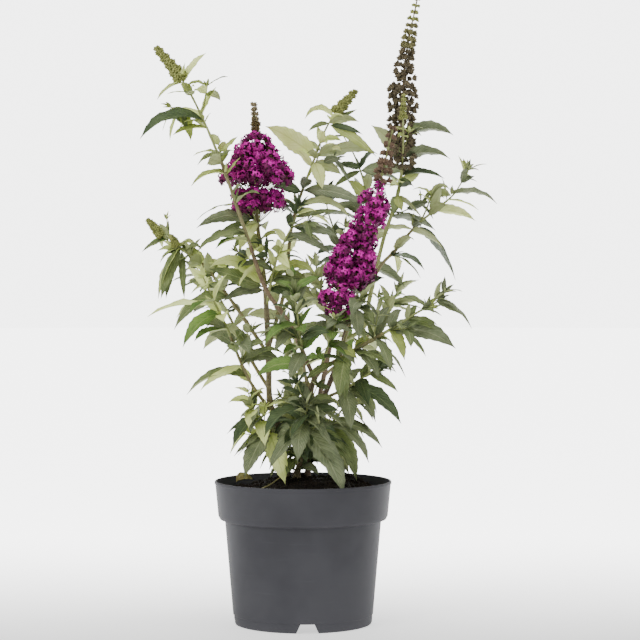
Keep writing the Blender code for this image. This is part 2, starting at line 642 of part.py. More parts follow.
def make_pot():
    underside = FLOOR_HEIGHT - WALL
    profile = (
        (0, 0), (PAD_RADIUS, 0), (PAD_RADIUS + 0.001, underside), (FOOT_RADIUS - FOOT_RING, underside),
        (FOOT_RADIUS - FOOT_RING + 0.0008, 0), (FOOT_RADIUS - FOOT_ROUND, 0), (FOOT_RADIUS, 0.0030),
        (FOOT_RADIUS + 0.0004, FOOT_HEIGHT), (FOOT_RADIUS + FOOT_ROUND, FOOT_HEIGHT + 0.0008),
        (NECK_RADIUS, NECK_HEIGHT), (COLLAR_RADIUS - SHOULDER, NECK_HEIGHT + SHOULDER),
        (COLLAR_RADIUS, COLLAR_HEIGHT), (RIM_RADIUS, RIM_HEIGHT - LIP_DEPTH), (RIM_RADIUS - 0.0006, RIM_HEIGHT),
        (RIM_RADIUS - LIP, RIM_HEIGHT), (COLLAR_RADIUS - WALL, COLLAR_HEIGHT + WALL),
        (NECK_RADIUS - WALL, NECK_HEIGHT + WALL), (FOOT_RADIUS - WALL, FLOOR_HEIGHT), (0, FLOOR_HEIGHT),
    )
    pot = turned_shape("pot", profile, POT_SIDES)
    notches = []
    for i in range(NOTCHES):
        turn = NOTCH_TURN + math.tau * i / NOTCHES
        ahead = Vector((math.cos(turn), math.sin(turn), 0))
        side = Vector((-ahead.y, ahead.x, 0))
        slope = (NOTCH_FOOT - NOTCH_TOP) / 2 / FOOT_HEIGHT
        low = NOTCH_FOOT / 2 + slope * NOTCH_DROP
        high = NOTCH_TOP / 2
        outline = ((-low, -NOTCH_DROP), (low, -NOTCH_DROP), (high, FOOT_HEIGHT), (-high, FOOT_HEIGHT))
        corners = []
        for depth in (FOOT_RADIUS - NOTCH_INSIDE, FOOT_RADIUS + NOTCH_OUTSIDE):
            corners += [ahead * depth + side * x + Vector((0, 0, z)) for x, z in outline]
        faces = [(3, 2, 1, 0), (4, 5, 6, 7)] + [(i, (i + 1) % 4, 4 + (i + 1) % 4, 4 + i) for i in range(4)]
        notches.append((corners, faces))
    apply_boolean(pot, "DIFFERENCE", notches)
    tidy(pot)
    pot.data.materials.append(material("pot plastic", POT_GREY, 0.45))
    return pot


def soil_height(x, y):
    """The heap round the canes, a clod behind them to the right, and the slope to the wall."""
    heap = (SOIL_TOP - SOIL_EDGE) * math.exp(-((math.hypot(x, y) / HEAP_SPREAD) ** HEAP_STEEPNESS))
    clod = CLOD_HEIGHT * math.exp(-((math.hypot(x - CLOD[0], y - CLOD[1]) / CLOD_SPREAD) ** 2))
    return SOIL_EDGE + heap + clod


def make_compost():
    slack = GAP / math.cos(math.pi / SOIL_SIDES) + 0.0003
    profile = (
        (0, FLOOR_HEIGHT + GAP), (FOOT_RADIUS - WALL - slack, FLOOR_HEIGHT + GAP),
        (NECK_RADIUS - WALL - slack, NECK_HEIGHT + WALL), (COLLAR_RADIUS - WALL - slack, COLLAR_HEIGHT + WALL),
        (RIM_RADIUS - 0.0050 - slack, SOIL_EDGE), *((radius, SOIL_EDGE) for radius in SOIL_RINGS),
        (SOIL_FLAT_RADIUS, SOIL_TOP), (0, SOIL_TOP),
    )
    soil = turned_shape("compost", profile, SOIL_SIDES)
    chance = random.Random("compost")
    for vert in soil.data.vertices:
        out = math.hypot(vert.co.x, vert.co.y)
        if SOIL_FLAT_RADIUS * 1.1 < out < SOIL_RINGS[0] * 1.02 and vert.co.z > SOIL_EDGE - 0.001:
            rough = chance.uniform(-SOIL_ROUGHNESS, SOIL_ROUGHNESS)
            vert.co.z = soil_height(vert.co.x, vert.co.y) + rough
    soil.data.materials.append(material("compost crumbs", COMPOST, 0.95))
    return soil


def plan_stems():
    """The stretches of every shoot: its limb, if it has one, and its mass's stem."""
    courses = {}
    limbs = {}
    masses = {}
    for shoot in SHOOTS:
        if shoot.on:
            carrier, share = shoot.on
            root = courses[carrier].at(courses[carrier].length * share)
            course = Course((root, *shoot.line))
        else:
            course = Course(shoot.line)
            course.points[0].z += GAP
        split = course.length * shoot.bare
        foot, tip = shoot.foot / 1000, shoot.tip / 1000
        if shoot.limb:
            courses[shoot.limb] = course
            limbs[shoot.limb] = Stem(course, 0.0, split, foot, tip)
        start = split + GAP if shoot.limb else 0.0
        masses[shoot.mass] = Stem(course, start, course.length, foot, tip)
    return limbs, masses


def limb_shape(limb, shoot, extra=0.0):
    return limb.tube(STEM_SIDES, extra, FLARE if shoot.on is None else 0.0)


def carrier_of(shoot):
    return next(carrier for carrier in SHOOTS if carrier.limb == shoot.on[0])


def make_limbs(limbs, room):
    bark = material("bark", BARK, 0.7)
    for shoot in SHOOTS:
        if not shoot.limb:
            continue
        shape = limb_shape(limbs[shoot.limb], shoot)
        obj = new_object(shoot.limb, shape)
        if shoot.on:
            carrier = carrier_of(shoot)
            apply_boolean(obj, "DIFFERENCE", [limb_shape(limbs[carrier.limb], carrier, GAP)])
        tidy(obj)
        obj.data.materials.append(bark)
        room.add(shape, shoot.limb)


def head_shapes(shoot, stem):
    chance = random.Random(shoot.mass + " head")
    shapes = []
    for head in shoot.heads:
        form = knob if isinstance(head, Head) else spindle
        shapes.append(form(stem, head, chance))
    return shapes


def bare_end(shoot, stem):
    """How far along its course the mass's stem shows: to inside its last flower head."""
    if not shoot.heads:
        return stem.end
    last = shoot.heads[-1]
    return stem.way(last.start + 0.3 * (last.end - last.start))


def grow(shoot, stem, room):
    """The leaves and twigs that find room, as closed shapes."""
    kept = []
    for kind, *found in growth(shoot, stem):
        if kind == "leaf":
            kept += place_leaf(found[0], room, shoot.mass)
            continue
        twig, leaves = found
        length = twig.course.length
        outer = Stem(twig.course, length * 0.3, length, twig.foot_radius, twig.tip_radius)
        if not room.clear(twig.tube(TWIG_SIDES, GUARD), outer.tube(TWIG_SIDES, GUARD), shoot.mass):
            continue
        room.add(outer.tube(TWIG_SIDES), shoot.mass)
        kept.append(twig.tube(TWIG_SIDES))
        for leaf in leaves:
            kept += place_leaf(leaf, room, shoot.mass)
    return kept


def place_leaf(leaf, room, owner):
    for degrees in TRIES:
        candidate = turned(leaf, degrees)
        shape = leaf_solid(candidate)
        if room.clear(leaf_solid(candidate, GUARD), leaf_solid(candidate, GUARD, BARE_ROOT), owner):
            room.add(shape, owner)
            return [shape]
    return []


def make_masses(limbs, stems, room):
    leafy = material("foliage", LEAF_GREEN, 0.6)
    bloom = material("blossom", MAGENTA, 0.6)
    spent = material("spent flower head", SPENT, 0.8)
    heads = {}
    for shoot in SHOOTS:
        room.add(stems[shoot.mass].tube(MASS_SIDES, SHEATH), shoot.mass)
        heads[shoot.mass] = head_shapes(shoot, stems[shoot.mass])
        for shape in heads[shoot.mass]:
            room.add(shape, shoot.mass)
    total = 0
    for shoot in SHOOTS:
        stem = stems[shoot.mass]
        grown = grow(shoot, stem, room)
        obj = new_object(shoot.mass, stem.tube(MASS_SIDES, until=bare_end(shoot, stem)))
        apply_boolean(obj, "UNION", grown + heads[shoot.mass])
        if not shoot.limb:
            carrier = carrier_of(shoot)
            apply_boolean(obj, "DIFFERENCE", [limb_shape(limbs[carrier.limb], carrier, GAP)])
        lost = tidy(obj)
        kinds = {"bloom": bloom, "spent": spent}
        obj.data.materials.append(kinds.get(shoot.mass.split("_")[0], leafy))
        total += len(obj.data.polygons)
        print(f"{shoot.mass}: {len(grown)} leaves and twigs, {len(obj.data.polygons)} faces, {lost} lost")
    print("masses:", total, "faces")


def main():
    for obj in list(bpy.data.objects):
        bpy.data.objects.remove(obj)
    room = Room()
    for made in (make_pot(), make_compost()):
        shape = ([v.co.copy() for v in made.data.vertices], [tuple(p.vertices) for p in made.data.polygons])
        room.add(shape, made.name)
    limbs, stems = plan_stems()
    make_limbs(limbs, room)
    make_masses(limbs, stems, room)


main()
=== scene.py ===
# %% [markdown]
# # Potted butterfly bush
# A young butterfly bush as a nursery sells it: four canes in a round plastic pot, grey-green lance-shaped
# leaves in opposite pairs, two magenta flower heads and one tall spike that has finished flowering.
# The solids of the frame give the size and the place of everything. This script gives each of them its
# real surface, piece by piece, from the pot upwards.

# %% Load the frame
import functools
import math
import random
from collections import namedtuple

import bmesh
import bpy
import numpy as np
from mathutils import Euler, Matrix, Quaternion, Vector, noise
from mathutils.bvhtree import BVHTree


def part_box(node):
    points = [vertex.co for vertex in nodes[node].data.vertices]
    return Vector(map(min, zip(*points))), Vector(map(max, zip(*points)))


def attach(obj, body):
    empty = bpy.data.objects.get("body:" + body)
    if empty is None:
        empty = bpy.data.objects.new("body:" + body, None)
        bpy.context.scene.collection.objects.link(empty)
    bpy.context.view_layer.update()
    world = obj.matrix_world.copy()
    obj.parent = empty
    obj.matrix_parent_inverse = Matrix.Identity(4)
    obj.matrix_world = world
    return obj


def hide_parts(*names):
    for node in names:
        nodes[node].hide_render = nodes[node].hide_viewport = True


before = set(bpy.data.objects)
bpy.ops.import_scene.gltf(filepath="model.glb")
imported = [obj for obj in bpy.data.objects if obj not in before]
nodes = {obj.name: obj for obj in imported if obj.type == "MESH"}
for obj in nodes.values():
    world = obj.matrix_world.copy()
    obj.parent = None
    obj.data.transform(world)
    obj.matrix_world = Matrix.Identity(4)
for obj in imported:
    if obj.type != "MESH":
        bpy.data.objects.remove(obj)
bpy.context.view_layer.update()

# %% [markdown]
# ## Writing shaders as sums
# A finish is a small graph of nodes. Dragging dozens of Math nodes by hand is slow and hard to read, so a
# socket is wrapped in a class that knows plus, minus and times. `1 - mask * 0.3` then adds the Math nodes
# itself. Every other node comes from one method, `node`, which sets the node's options and then its sockets.

# %% Sockets that add, subtract and multiply
class Socket:
    """An output of a node, ready for arithmetic."""

    def __init__(self, tree, socket):
        self.tree = tree
        self.socket = socket

    def math(self, operation, *values):
        made = self.tree.nodes.new("ShaderNodeMath")
        made.operation = operation
        for entry, value in zip(made.inputs, values):
            feed(self.tree, entry, value)
        return Socket(self.tree, made.outputs[0])

    def __add__(self, other):
        return self.math("ADD", self, other)

    def __sub__(self, other):
        return self.math("SUBTRACT", self, other)

    def __rsub__(self, other):
        return self.math("SUBTRACT", other, self)

    def __mul__(self, other):
        return self.math("MULTIPLY", self, other)

    __radd__ = __add__
    __rmul__ = __mul__


def feed(tree, entry, value):
    """Links a socket to an input, or sets the input's own value."""
    if isinstance(value, Socket):
        tree.links.new(value.socket, entry)
    else:
        entry.default_value = (*value, 1) if entry.type == "RGBA" else value


def screen(*channels):
    """A colour on a screen, 0 to 255, as the linear light that shaders use."""
    shares = [channel / 255 for channel in channels]
    return tuple(s / 12.92 if s < 0.04 else ((s + 0.055) / 1.055) ** 2.4 for s in shares)


# %% Node trees and finishes
FINISHES = {}


class Graph:
    """A tree of shader nodes under construction, of a material or of the world."""

    def __init__(self, owner, shader, coordinates):
        owner.use_nodes = True
        self.owner = owner
        self.tree = owner.node_tree
        self.shader = self.tree.nodes[shader]
        self.place = self.node("ShaderNodeTexCoord", coordinates)

    def node(self, kind, output=0, settings=(), **values):
        """Any node: its settings first, then the values or links of its sockets."""
        made = self.tree.nodes.new(kind)
        for key, value in dict(settings).items():
            setattr(made, key, value)
        for key, value in values.items():
            feed(self.tree, next(s for s in made.inputs if s.identifier.replace(" ", "_") == key), value)
        return Socket(self.tree, made.outputs[output])

    def set(self, **values):
        """Sets or links inputs of the shader itself."""
        for key, value in values.items():
            feed(self.tree, self.shader.inputs[key.replace("_", " ")], value)

    def part(self, place, axis):
        return self.node("ShaderNodeSeparateXYZ", axis, Vector=place)

    def between(self, low, high, value, bottom=0.0, top=1.0):
        """`bottom` below `low`, `top` above `high`, and smooth between."""
        return self.node("ShaderNodeMapRange", settings={"interpolation_type": "SMOOTHSTEP"}, Value=value,
                         From_Min=low, From_Max=high, To_Min=bottom, To_Max=top)


class Finish(Graph):
    """A material, which sees the piece's own coordinates."""

    def __init__(self, name, **constants):
        super().__init__(bpy.data.materials.new(name), "Principled BSDF", "Object")
        self.name = name
        self.set(**constants)

    def cloud(self, scale, detail=2.0, stretch=None):
        """Noise over the piece, or `stretch`ed by three numbers into grain that runs one way."""
        place = self.node("ShaderNodeMapping", Vector=self.place, Scale=stretch) if stretch else self.place
        return self.node("ShaderNodeTexNoise", Vector=place, Scale=scale, Detail=detail)

    def blend(self, first, second, share):
        return self.node("ShaderNodeMix", 2, {"data_type": "RGBA"}, Factor_Float=share, A_Color=first,
                         B_Color=second)

    def paint(self, colour, roughness, height, depth, strength):
        """Links what varies over the surface, with bumps `depth` metres high, and keeps the finish."""
        bump = self.node("ShaderNodeBump", Height=height, Strength=strength, Distance=depth)
        self.set(Base_Color=colour, Normal=bump)
        if roughness is not None:
            self.set(Roughness=roughness)
        FINISHES[self.name] = self.owner


# %% [markdown]
# ## Making pieces
# A bush is thousands of small things that are nearly alike. Each kind is modelled once with Blender's mesh
# operators, as a pattern in a plain unit space, and then set down again and again, bent along its own line.
# The copies are joined straight into one mesh, since an object for each leaf would choke any scene.

# %% Patterns and piles
def linked(name, data):
    """A new object in the scene."""
    made = bpy.data.objects.new(name, data)
    bpy.context.scene.collection.objects.link(made)
    return made


def placed(name, mesh):
    piece = linked(name, mesh)
    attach(piece, "root")
    return piece


class Pattern:
    """A small shape made once with mesh operators, kept as arrays so that it can be set down many times."""

    def __init__(self, bm):
        bm.verts.ensure_lookup_table()
        layer = bm.loops.layers.uv.active
        self.corners = np.array([v.co for v in bm.verts])
        self.loops = np.array([v.index for f in bm.faces for v in f.verts])
        self.sides = np.array([len(f.verts) for f in bm.faces])
        self.slots = np.array([f.material_index for f in bm.faces])
        flat = [(0.5, 0.5)] * len(self.loops)
        self.uv = np.array([loop[layer].uv for f in bm.faces for loop in f.loops] if layer else flat)
        bm.free()


class Pile:
    """Many copies of patterns, gathered and then made one mesh."""

    def __init__(self):
        self.parts = []
        self.count = 0

    def add(self, pattern, corners, finishes):
        """`corners` are the pattern's corners in place, and `finishes` name what its slots are made of."""
        self.parts.append((pattern, corners, self.count, finishes))
        self.count += len(corners)

    def make(self, name):
        """One object at the origin, riding on the root, with the finishes that it uses."""
        used = sorted({finish for *_, finishes in self.parts for finish in finishes})
        loops = np.concatenate([pattern.loops + first for pattern, _, first, _ in self.parts])
        sides = np.concatenate([pattern.sides for pattern, *_ in self.parts])
        slots = np.concatenate([np.array([used.index(f) for f in finishes])[pattern.slots]
                                for pattern, _, _, finishes in self.parts])
        starts = np.concatenate([[0], np.cumsum(sides)[:-1]])
        mesh = bpy.data.meshes.new(name)
        mesh.vertices.add(self.count)
        mesh.loops.add(len(loops))
        mesh.polygons.add(len(sides))
        mesh.vertices.foreach_set("co", np.concatenate([c for _, c, *_ in self.parts]).ravel())
        mesh.loops.foreach_set("vertex_index", loops.astype(np.int32))
        mesh.polygons.foreach_set("loop_start", starts.astype(np.int32))
        mesh.polygons.foreach_set("material_index", slots.astype(np.int32))
        mesh.polygons.foreach_set("use_smooth", np.ones(len(sides), bool))
        layer = mesh.uv_layers.new(name="surface")
        layer.data.foreach_set("uv", np.concatenate([pattern.uv for pattern, *_ in self.parts]).ravel())
        mesh.update(calc_edges=True)
        for finish in used:
            mesh.materials.append(FINISHES[finish])
        return placed(name, mesh)


def mesh_from(name, bm):
    mesh = bpy.data.meshes.new(name)
    bm.to_mesh(mesh)
    bm.free()
    return mesh


def shade(mesh, degrees):
    """Smooth faces, with a sharp edge wherever two faces meet at more than some degrees."""
    mesh.shade_smooth()
    mesh.set_sharp_from_angle(angle=math.radians(degrees))


def piece_from(name, bm, finish, degrees):
    """An object from a bmesh that is already in its place, with its normals set to point out."""
    bmesh.ops.recalc_face_normals(bm, faces=bm.faces)
    mesh = mesh_from(name, bm)
    shade(mesh, degrees)
    mesh.materials.append(FINISHES[finish])
    return placed(name, mesh)


def unit(vectors):
    return vectors / np.linalg.norm(vectors, axis=-1, keepdims=True)


def square(vector, axis):
    """The unit direction nearest to a vector that is square to an axis."""
    return unit(vector - axis * (axis @ vector))


def turn(vector, axis, angle):
    """A vector swung round a unit axis by an angle in radians."""
    cos, sin = math.cos(angle), math.sin(angle)
    return vector * cos + np.cross(axis, vector) * sin + axis * (axis @ vector) * (1 - cos)


UP = np.array((0.0, 0.0, 1.0))

# %% [markdown]
# ## Finishes of the pot and the compost
# The pot is injection moulded: dark grey polypropylene with a faint satin shine, a very fine grain, and
# marks that run round it where it was stacked and handled. Damp compost has almost no shine, and its
# colour changes from crumb to crumb, so a coarse and a fine noise are mixed.

# %% Pot plastic and compost
POT_GREY = screen(70, 70, 74)
POT_SCUFF = screen(82, 82, 86)
POT_SHADE = screen(61, 61, 65)

finish = Finish("pot_plastic", Specular_IOR_Level=0.1)
cloudy = finish.cloud(9.0, 3.0)
rubbed = finish.between(0.60, 0.78, finish.cloud(1.0, 5.0, (16, 16, 190)))
grain = finish.cloud(2600.0, 1.0)
colour = finish.blend(POT_SHADE, POT_GREY, finish.between(0.30, 0.62, cloudy))
finish.paint(finish.blend(colour, POT_SCUFF, rubbed * 0.2), 0.52 + cloudy * 0.10 + rubbed * 0.10,
             grain * 0.5 + rubbed * 0.2, 0.0002, 0.35)

SOIL_DARK = screen(16, 12, 9)
SOIL_MID = screen(38, 29, 22)
SOIL_PALE = screen(66, 50, 38)
for name, dark, mid in (("soil", SOIL_DARK, SOIL_MID), ("crumb", SOIL_MID, SOIL_DARK)):
    finish = Finish(name, Roughness=0.95, Specular_IOR_Level=0.25)
    coarse = finish.cloud(90.0, 4.0)
    fine = finish.cloud(700.0, 3.0)
    colour = finish.blend(dark, mid, finish.between(0.40, 0.66, coarse * 0.5 + fine * 0.5))
    colour = finish.blend(colour, SOIL_PALE, finish.between(0.64, 0.74, fine) * 0.5)
    finish.paint(colour, None, fine + coarse, 0.0012, 0.8)
print("finishes:", ", ".join(FINISHES))

# %% [markdown]
# ## Finishes of the shoots
# Old canes are brown-grey with fine lengthwise fibres and small pale pores; young stems are green where they
# are soft and purple-brown where the sun has reached them. The fibres are a noise stretched along the cane.

# %% Bark and stems
for name, *colours in (
    ("bark_brown", (78, 70, 50), (138, 128, 98), (166, 156, 126)),
    ("bark_purple", (70, 58, 48), (122, 104, 84), (146, 132, 106)),
    ("stem_brown", (104, 98, 66), (144, 138, 98), (168, 162, 122)),
    ("stem_purple", (88, 72, 56), (136, 118, 90), (158, 144, 112)),
    ("stem_green", (122, 132, 74), (162, 168, 112), (182, 186, 140)),
):
    ground, fibre, pore = (screen(*colour) for colour in colours)
    finish = Finish(name, Specular_IOR_Level=0.3)
    fibres = finish.cloud(1.0, 4.0, (1500, 1500, 90))
    patches = finish.cloud(60.0, 2.0)
    stretched = finish.node("ShaderNodeMapping", Vector=finish.place, Scale=(420, 420, 260))
    pores = finish.node("ShaderNodeTexVoronoi", Vector=stretched, Scale=1.0)
    spots = 1 - finish.between(0.16, 0.30, pores)
    colour = finish.blend(ground, fibre, finish.between(0.38, 0.66, fibres * 0.65 + patches * 0.35))
    colour = finish.blend(colour, pore, spots * 0.45)
    finish.paint(colour, 0.62 + fibres * 0.2, fibres + spots * 0.3, 0.0004, 0.7)

# %% [markdown]
# ## Finishes of the leaves
# A leaf has a face and a back. The face is green with a net of sunken veins, the back is felted and pale.
# Both read the leaf's own surface map, u along the midrib and v across it, so that the midrib runs down the
# middle of every leaf however it hangs. Age and light change the green from shoot to shoot, and for that
# whole sprays take another finish instead of a pattern. Some sprays take a face green on their backs too: a
# painted shade on undersides that hang in shadow.

# %% Leaf faces and backs
VEIN_PAIRS = 13
VEIN_SLANT = 0.24
VEIN_SHARE = 0.7

for name, *colours in (
    ("face_deep", (64, 82, 50), (82, 98, 62), (122, 136, 92)),
    ("face_mid", (104, 119, 71), (130, 143, 91), (176, 186, 130)),
    ("face_grey", (105, 116, 83), (129, 138, 103), (170, 178, 136)),
    ("face_bright", (92, 126, 54), (114, 144, 68), (158, 174, 108)),
    ("face_lime", (158, 172, 90), (180, 192, 108), (214, 222, 150)),
    ("back_grey", (166, 175, 120), (180, 189, 134), (150, 159, 104)),
    ("back_pale", (220, 232, 142), (234, 244, 164), (196, 208, 120)),
):
    base, other, vein = (screen(*colour) for colour in colours)
    depth, roughness = (0.0010, 0.58) if name.startswith("face") else (0.0004, 0.82)
    finish = Finish(name, Roughness=roughness, Specular_IOR_Level=0.35)
    surface = finish.node("ShaderNodeTexCoord", "UV")
    off_middle = finish.part(surface, "Y") - 0.5
    out = off_middle.math("ABSOLUTE", off_middle) * 2
    midrib = 1 - finish.between(0.02, 0.10, out)
    slanted = (finish.part(surface, "X") - out * VEIN_SLANT) * VEIN_PAIRS
    wave = slanted.math("PINGPONG", slanted, 0.5) * 2
    veins = (1 - finish.between(0.05, 0.34, wave)) * (1 - finish.between(0.75, 1.0, out))
    mottle = finish.cloud(70.0, 3.0)
    felt = finish.cloud(1400.0, 2.0)
    colour = finish.blend(base, other, finish.between(0.34, 0.68, mottle))
    colour = finish.blend(colour, vein, (midrib * 0.9 + veins * 0.4) * VEIN_SHARE)
    finish.paint(colour, None, felt * 0.12 - veins * 0.45 - midrib * 0.6 + wave * 0.35, depth, 0.9)

# %% [markdown]
# ## Finishes of the flowers
# Fresh florets are magenta, and the cymes differ a little in age, so there are three tones. The bright tone
# is also a painted highlight on flowers that face up, and the deep tone a painted shade on flowers that face
# down or sit in inner cymes. The tube behind a floret is darker, and the cup that holds it is green-brown.
# The throat's dark magenta is a painted shade in the flower's mouth. What has finished flowering is dry and
# brown.
# All of them are matte and a few millimetres across, so two near colours are enough for each.

# %% Petals, cups and dry seed cases
for name, base, other, roughness in (
    # The bright tone doubles as a painted highlight on up-facing flowers, the deep tone as a painted shade on
    # down-facing and inner ones
    ("petal_bright", (226, 30, 184), (196, 14, 154), 0.5),
    ("petal_mid", (170, 8, 134), (144, 2, 110), 0.55),
    ("petal_deep", (104, 0, 76), (80, 0, 56), 0.6),
    ("floret_tube", (84, 22, 56), (64, 16, 40), 0.65),
    # The throat's dark magenta is a painted shade in the flower's mouth
    ("throat", (120, 20, 70), (96, 10, 60), 0.6),
    ("cup", (104, 92, 56), (84, 66, 42), 0.75),
    ("bud_green", (150, 154, 88), (112, 118, 60), 0.7),
    ("bud_brown", (140, 128, 98), (108, 98, 72), 0.75),
    ("case_dark", (108, 98, 74), (76, 68, 52), 0.85),
    ("case_brown", (128, 124, 82), (94, 92, 58), 0.85),
    ("case_mauve", (120, 98, 78), (88, 70, 56), 0.85),
    ("dry_leaf", (150, 146, 96), (118, 106, 66), 0.8),
):
    finish = Finish(name, Roughness=roughness, Specular_IOR_Level=0.3)
    mottle = finish.cloud(260.0)
    colour = finish.blend(screen(*base), screen(*other), finish.between(0.36, 0.64, mottle))
    finish.paint(colour, None, mottle, 0.0003, 0.4)
print("all finishes:", len(FINISHES))

# %% [markdown]
# ## The pot
# The real pot is one thin shell with a deep collar, a rolled lip and a ring that it stands on, with notches
# that let water out. A turned shape like this is its outline spun round the axis. The outline is drawn once,
# the outside going down and the inside coming up, and its small corners stand for the moulded radii.

# %% The pot's outline
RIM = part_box("pot")[1].x
RIM_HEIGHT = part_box("pot")[1].z
COLLAR = RIM * 0.960
NECK = RIM * 0.885
FOOT = RIM * 0.7826
WALL = 0.0018
LIP = 0.0026
COLLAR_HEIGHT = RIM_HEIGHT * 0.757
NECK_HEIGHT = RIM_HEIGHT * 0.724
FOOT_HEIGHT = RIM_HEIGHT * 0.0622
FLOOR_HEIGHT = 0.015
UNDERSIDE = FLOOR_HEIGHT - WALL
FOOT_RING = 0.0044
PAD = 0.020

POT_OUTLINE = (
    (PAD, 0.0), (PAD + 0.001, UNDERSIDE), (FOOT - FOOT_RING, UNDERSIDE), (FOOT - FOOT_RING + 0.0008, 0.0),
    (FOOT - 0.0012, 0.0), (FOOT, 0.0030), (FOOT + 0.0002, FOOT_HEIGHT), (FOOT + 0.0011, FOOT_HEIGHT + 0.0008),
    (NECK - 0.0002, NECK_HEIGHT), (COLLAR - 0.0024, NECK_HEIGHT + 0.0020), (COLLAR - 0.0002, COLLAR_HEIGHT),
    (RIM - 0.0009, RIM_HEIGHT - 0.0042), (RIM, RIM_HEIGHT - 0.0034), (RIM - 0.0001, RIM_HEIGHT - 0.0008),
    (RIM - 0.0008, RIM_HEIGHT), (RIM - LIP + 0.0004, RIM_HEIGHT), (RIM - LIP, RIM_HEIGHT - 0.0006),
    (COLLAR - WALL, COLLAR_HEIGHT + WALL), (NECK - WALL, NECK_HEIGHT + WALL),
    (FOOT - WALL, FLOOR_HEIGHT + 0.004), (FOOT - WALL - 0.004, FLOOR_HEIGHT),
)


# %% Spin it and cut the notches
NOTCHES = 4
NOTCH_TURN = math.radians(-86)
NOTCH_FOOT = 0.0285
NOTCH_TOP = 0.0180
NOTCH_DROP = 0.004
POT_SHARP = 28


def turned(outline, steps):
    """A bmesh turned round the upright axis from (radius, height) pairs, closed at both poles."""
    bm = bmesh.new()
    low, high = outline[0][1], outline[-1][1]
    verts = [bm.verts.new((radius, 0, height)) for radius, height in ((0, low), *outline, (0, high))]
    edges = [bm.edges.new(pair) for pair in zip(verts, verts[1:])]
    bmesh.ops.spin(bm, geom=verts + edges, cent=(0, 0, 0), axis=(0, 0, 1), angle=math.tau, steps=steps,
                   use_merge=True)
    bmesh.ops.remove_doubles(bm, verts=bm.verts, dist=0.00002)
    return bm


def notch_cutter(angle):
    """A wedge wider at its foot than at its top, across the foot ring."""
    bm = bmesh.new()
    bmesh.ops.create_cube(bm, size=1)
    slope = (NOTCH_FOOT - NOTCH_TOP) / 2 / FOOT_HEIGHT
    for vert in bm.verts:
        high = vert.co.z > 0
        half = NOTCH_TOP / 2 if high else NOTCH_FOOT / 2 + slope * NOTCH_DROP
        depth = FOOT + (0.006 if vert.co.x > 0 else -0.012)
        vert.co = (depth, math.copysign(half, vert.co.y), FOOT_HEIGHT if high else -NOTCH_DROP)
    bmesh.ops.rotate(bm, verts=bm.verts, cent=(0, 0, 0), matrix=Quaternion((0, 0, 1), angle).to_matrix())
    bmesh.ops.recalc_face_normals(bm, faces=bm.faces)
    return linked("notch", mesh_from("notch", bm))


pot = piece_from("nursery_pot", turned(POT_OUTLINE, 144), "pot_plastic", POT_SHARP)
cutters = [notch_cutter(NOTCH_TURN + math.tau * i / NOTCHES) for i in range(NOTCHES)]
for cutter in cutters:
    step = pot.modifiers.new("cut", "BOOLEAN")
    step.operation = "DIFFERENCE"
    step.object = cutter
bpy.context.view_layer.update()
notched = bpy.data.meshes.new_from_object(pot.evaluated_get(bpy.context.evaluated_depsgraph_get()))
pot.modifiers.clear()
pot.data = notched
for cutter in cutters:
    bpy.data.objects.remove(cutter)
shade(pot.data, POT_SHARP)
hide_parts("pot")
print("pot:", len(pot.data.polygons), "faces, rim", round(RIM * 2000), "mm across")

# %% [markdown]
# ## The compost
# Potting compost is peat and bark fibre: a dark surface heaped a little round the canes, with crumbs and
# clods on it. The body is turned like the pot and its top is roughened with fractal noise. The crumbs are
# separate lumps, since a bump texture alone would leave a smooth outline against the rim.

# %% The compost's body
SOIL_EDGE = RIM_HEIGHT - 0.014
SOIL_TOP = RIM_HEIGHT + 0.005
HEAP_SPREAD = 0.069
HEAP_STEEPNESS = 3.2
CLOD = (0.060, 0.052)
CLOD_HEIGHT = 0.012
CLOD_SPREAD = 0.0205
SOIL_WIDE = RIM - 0.0062
SOIL_RINGS = 44


def soil_height(x, y):
    out = math.hypot(x, y)
    heap = (SOIL_TOP - SOIL_EDGE) * math.exp(-((out / HEAP_SPREAD) ** HEAP_STEEPNESS))
    clod = CLOD_HEIGHT * math.exp(-((math.hypot(x - CLOD[0], y - CLOD[1]) / CLOD_SPREAD) ** 2))
    rough = noise.fractal(Vector((x, y, 0.3)) * 95, 0.9, 2.1, 4) * 0.0016
    return SOIL_EDGE + heap + clod + rough * min(1, (SOIL_WIDE - out) / 0.006 + 0.3)


soil_outline = [(FOOT - WALL - 0.0045, FLOOR_HEIGHT + 0.0004), (NECK - WALL - 0.001, NECK_HEIGHT + WALL),
                (COLLAR - WALL - 0.001, COLLAR_HEIGHT + WALL),
                *((SOIL_WIDE * (1 - i / SOIL_RINGS), SOIL_EDGE) for i in range(SOIL_RINGS))]
bm = turned(soil_outline, 112)
for vert in bm.verts:
    if vert.co.z > SOIL_EDGE - 0.0005:
        vert.co.z = soil_height(vert.co.x, vert.co.y)
compost = piece_from("compost_heap", bm, "soil", 60)
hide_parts("compost")
print("compost:", len(compost.data.polygons), "faces")


# %% Crumbs and bark fibre on top
SCATTER_WIDE = SOIL_WIDE - 0.002


def ball(detail, radius):
    bm = bmesh.new()
    bmesh.ops.create_icosphere(bm, subdivisions=detail, radius=radius)
    return bm


def lump(detail, seed):
    """An irregular crumb about one unit across."""
    bm = ball(detail, 0.5)
    for vert in bm.verts:
        vert.co *= 1 + 0.55 * noise.noise(vert.co * 2.3 + Vector((seed, 0, 0)))
    return Pattern(bm)


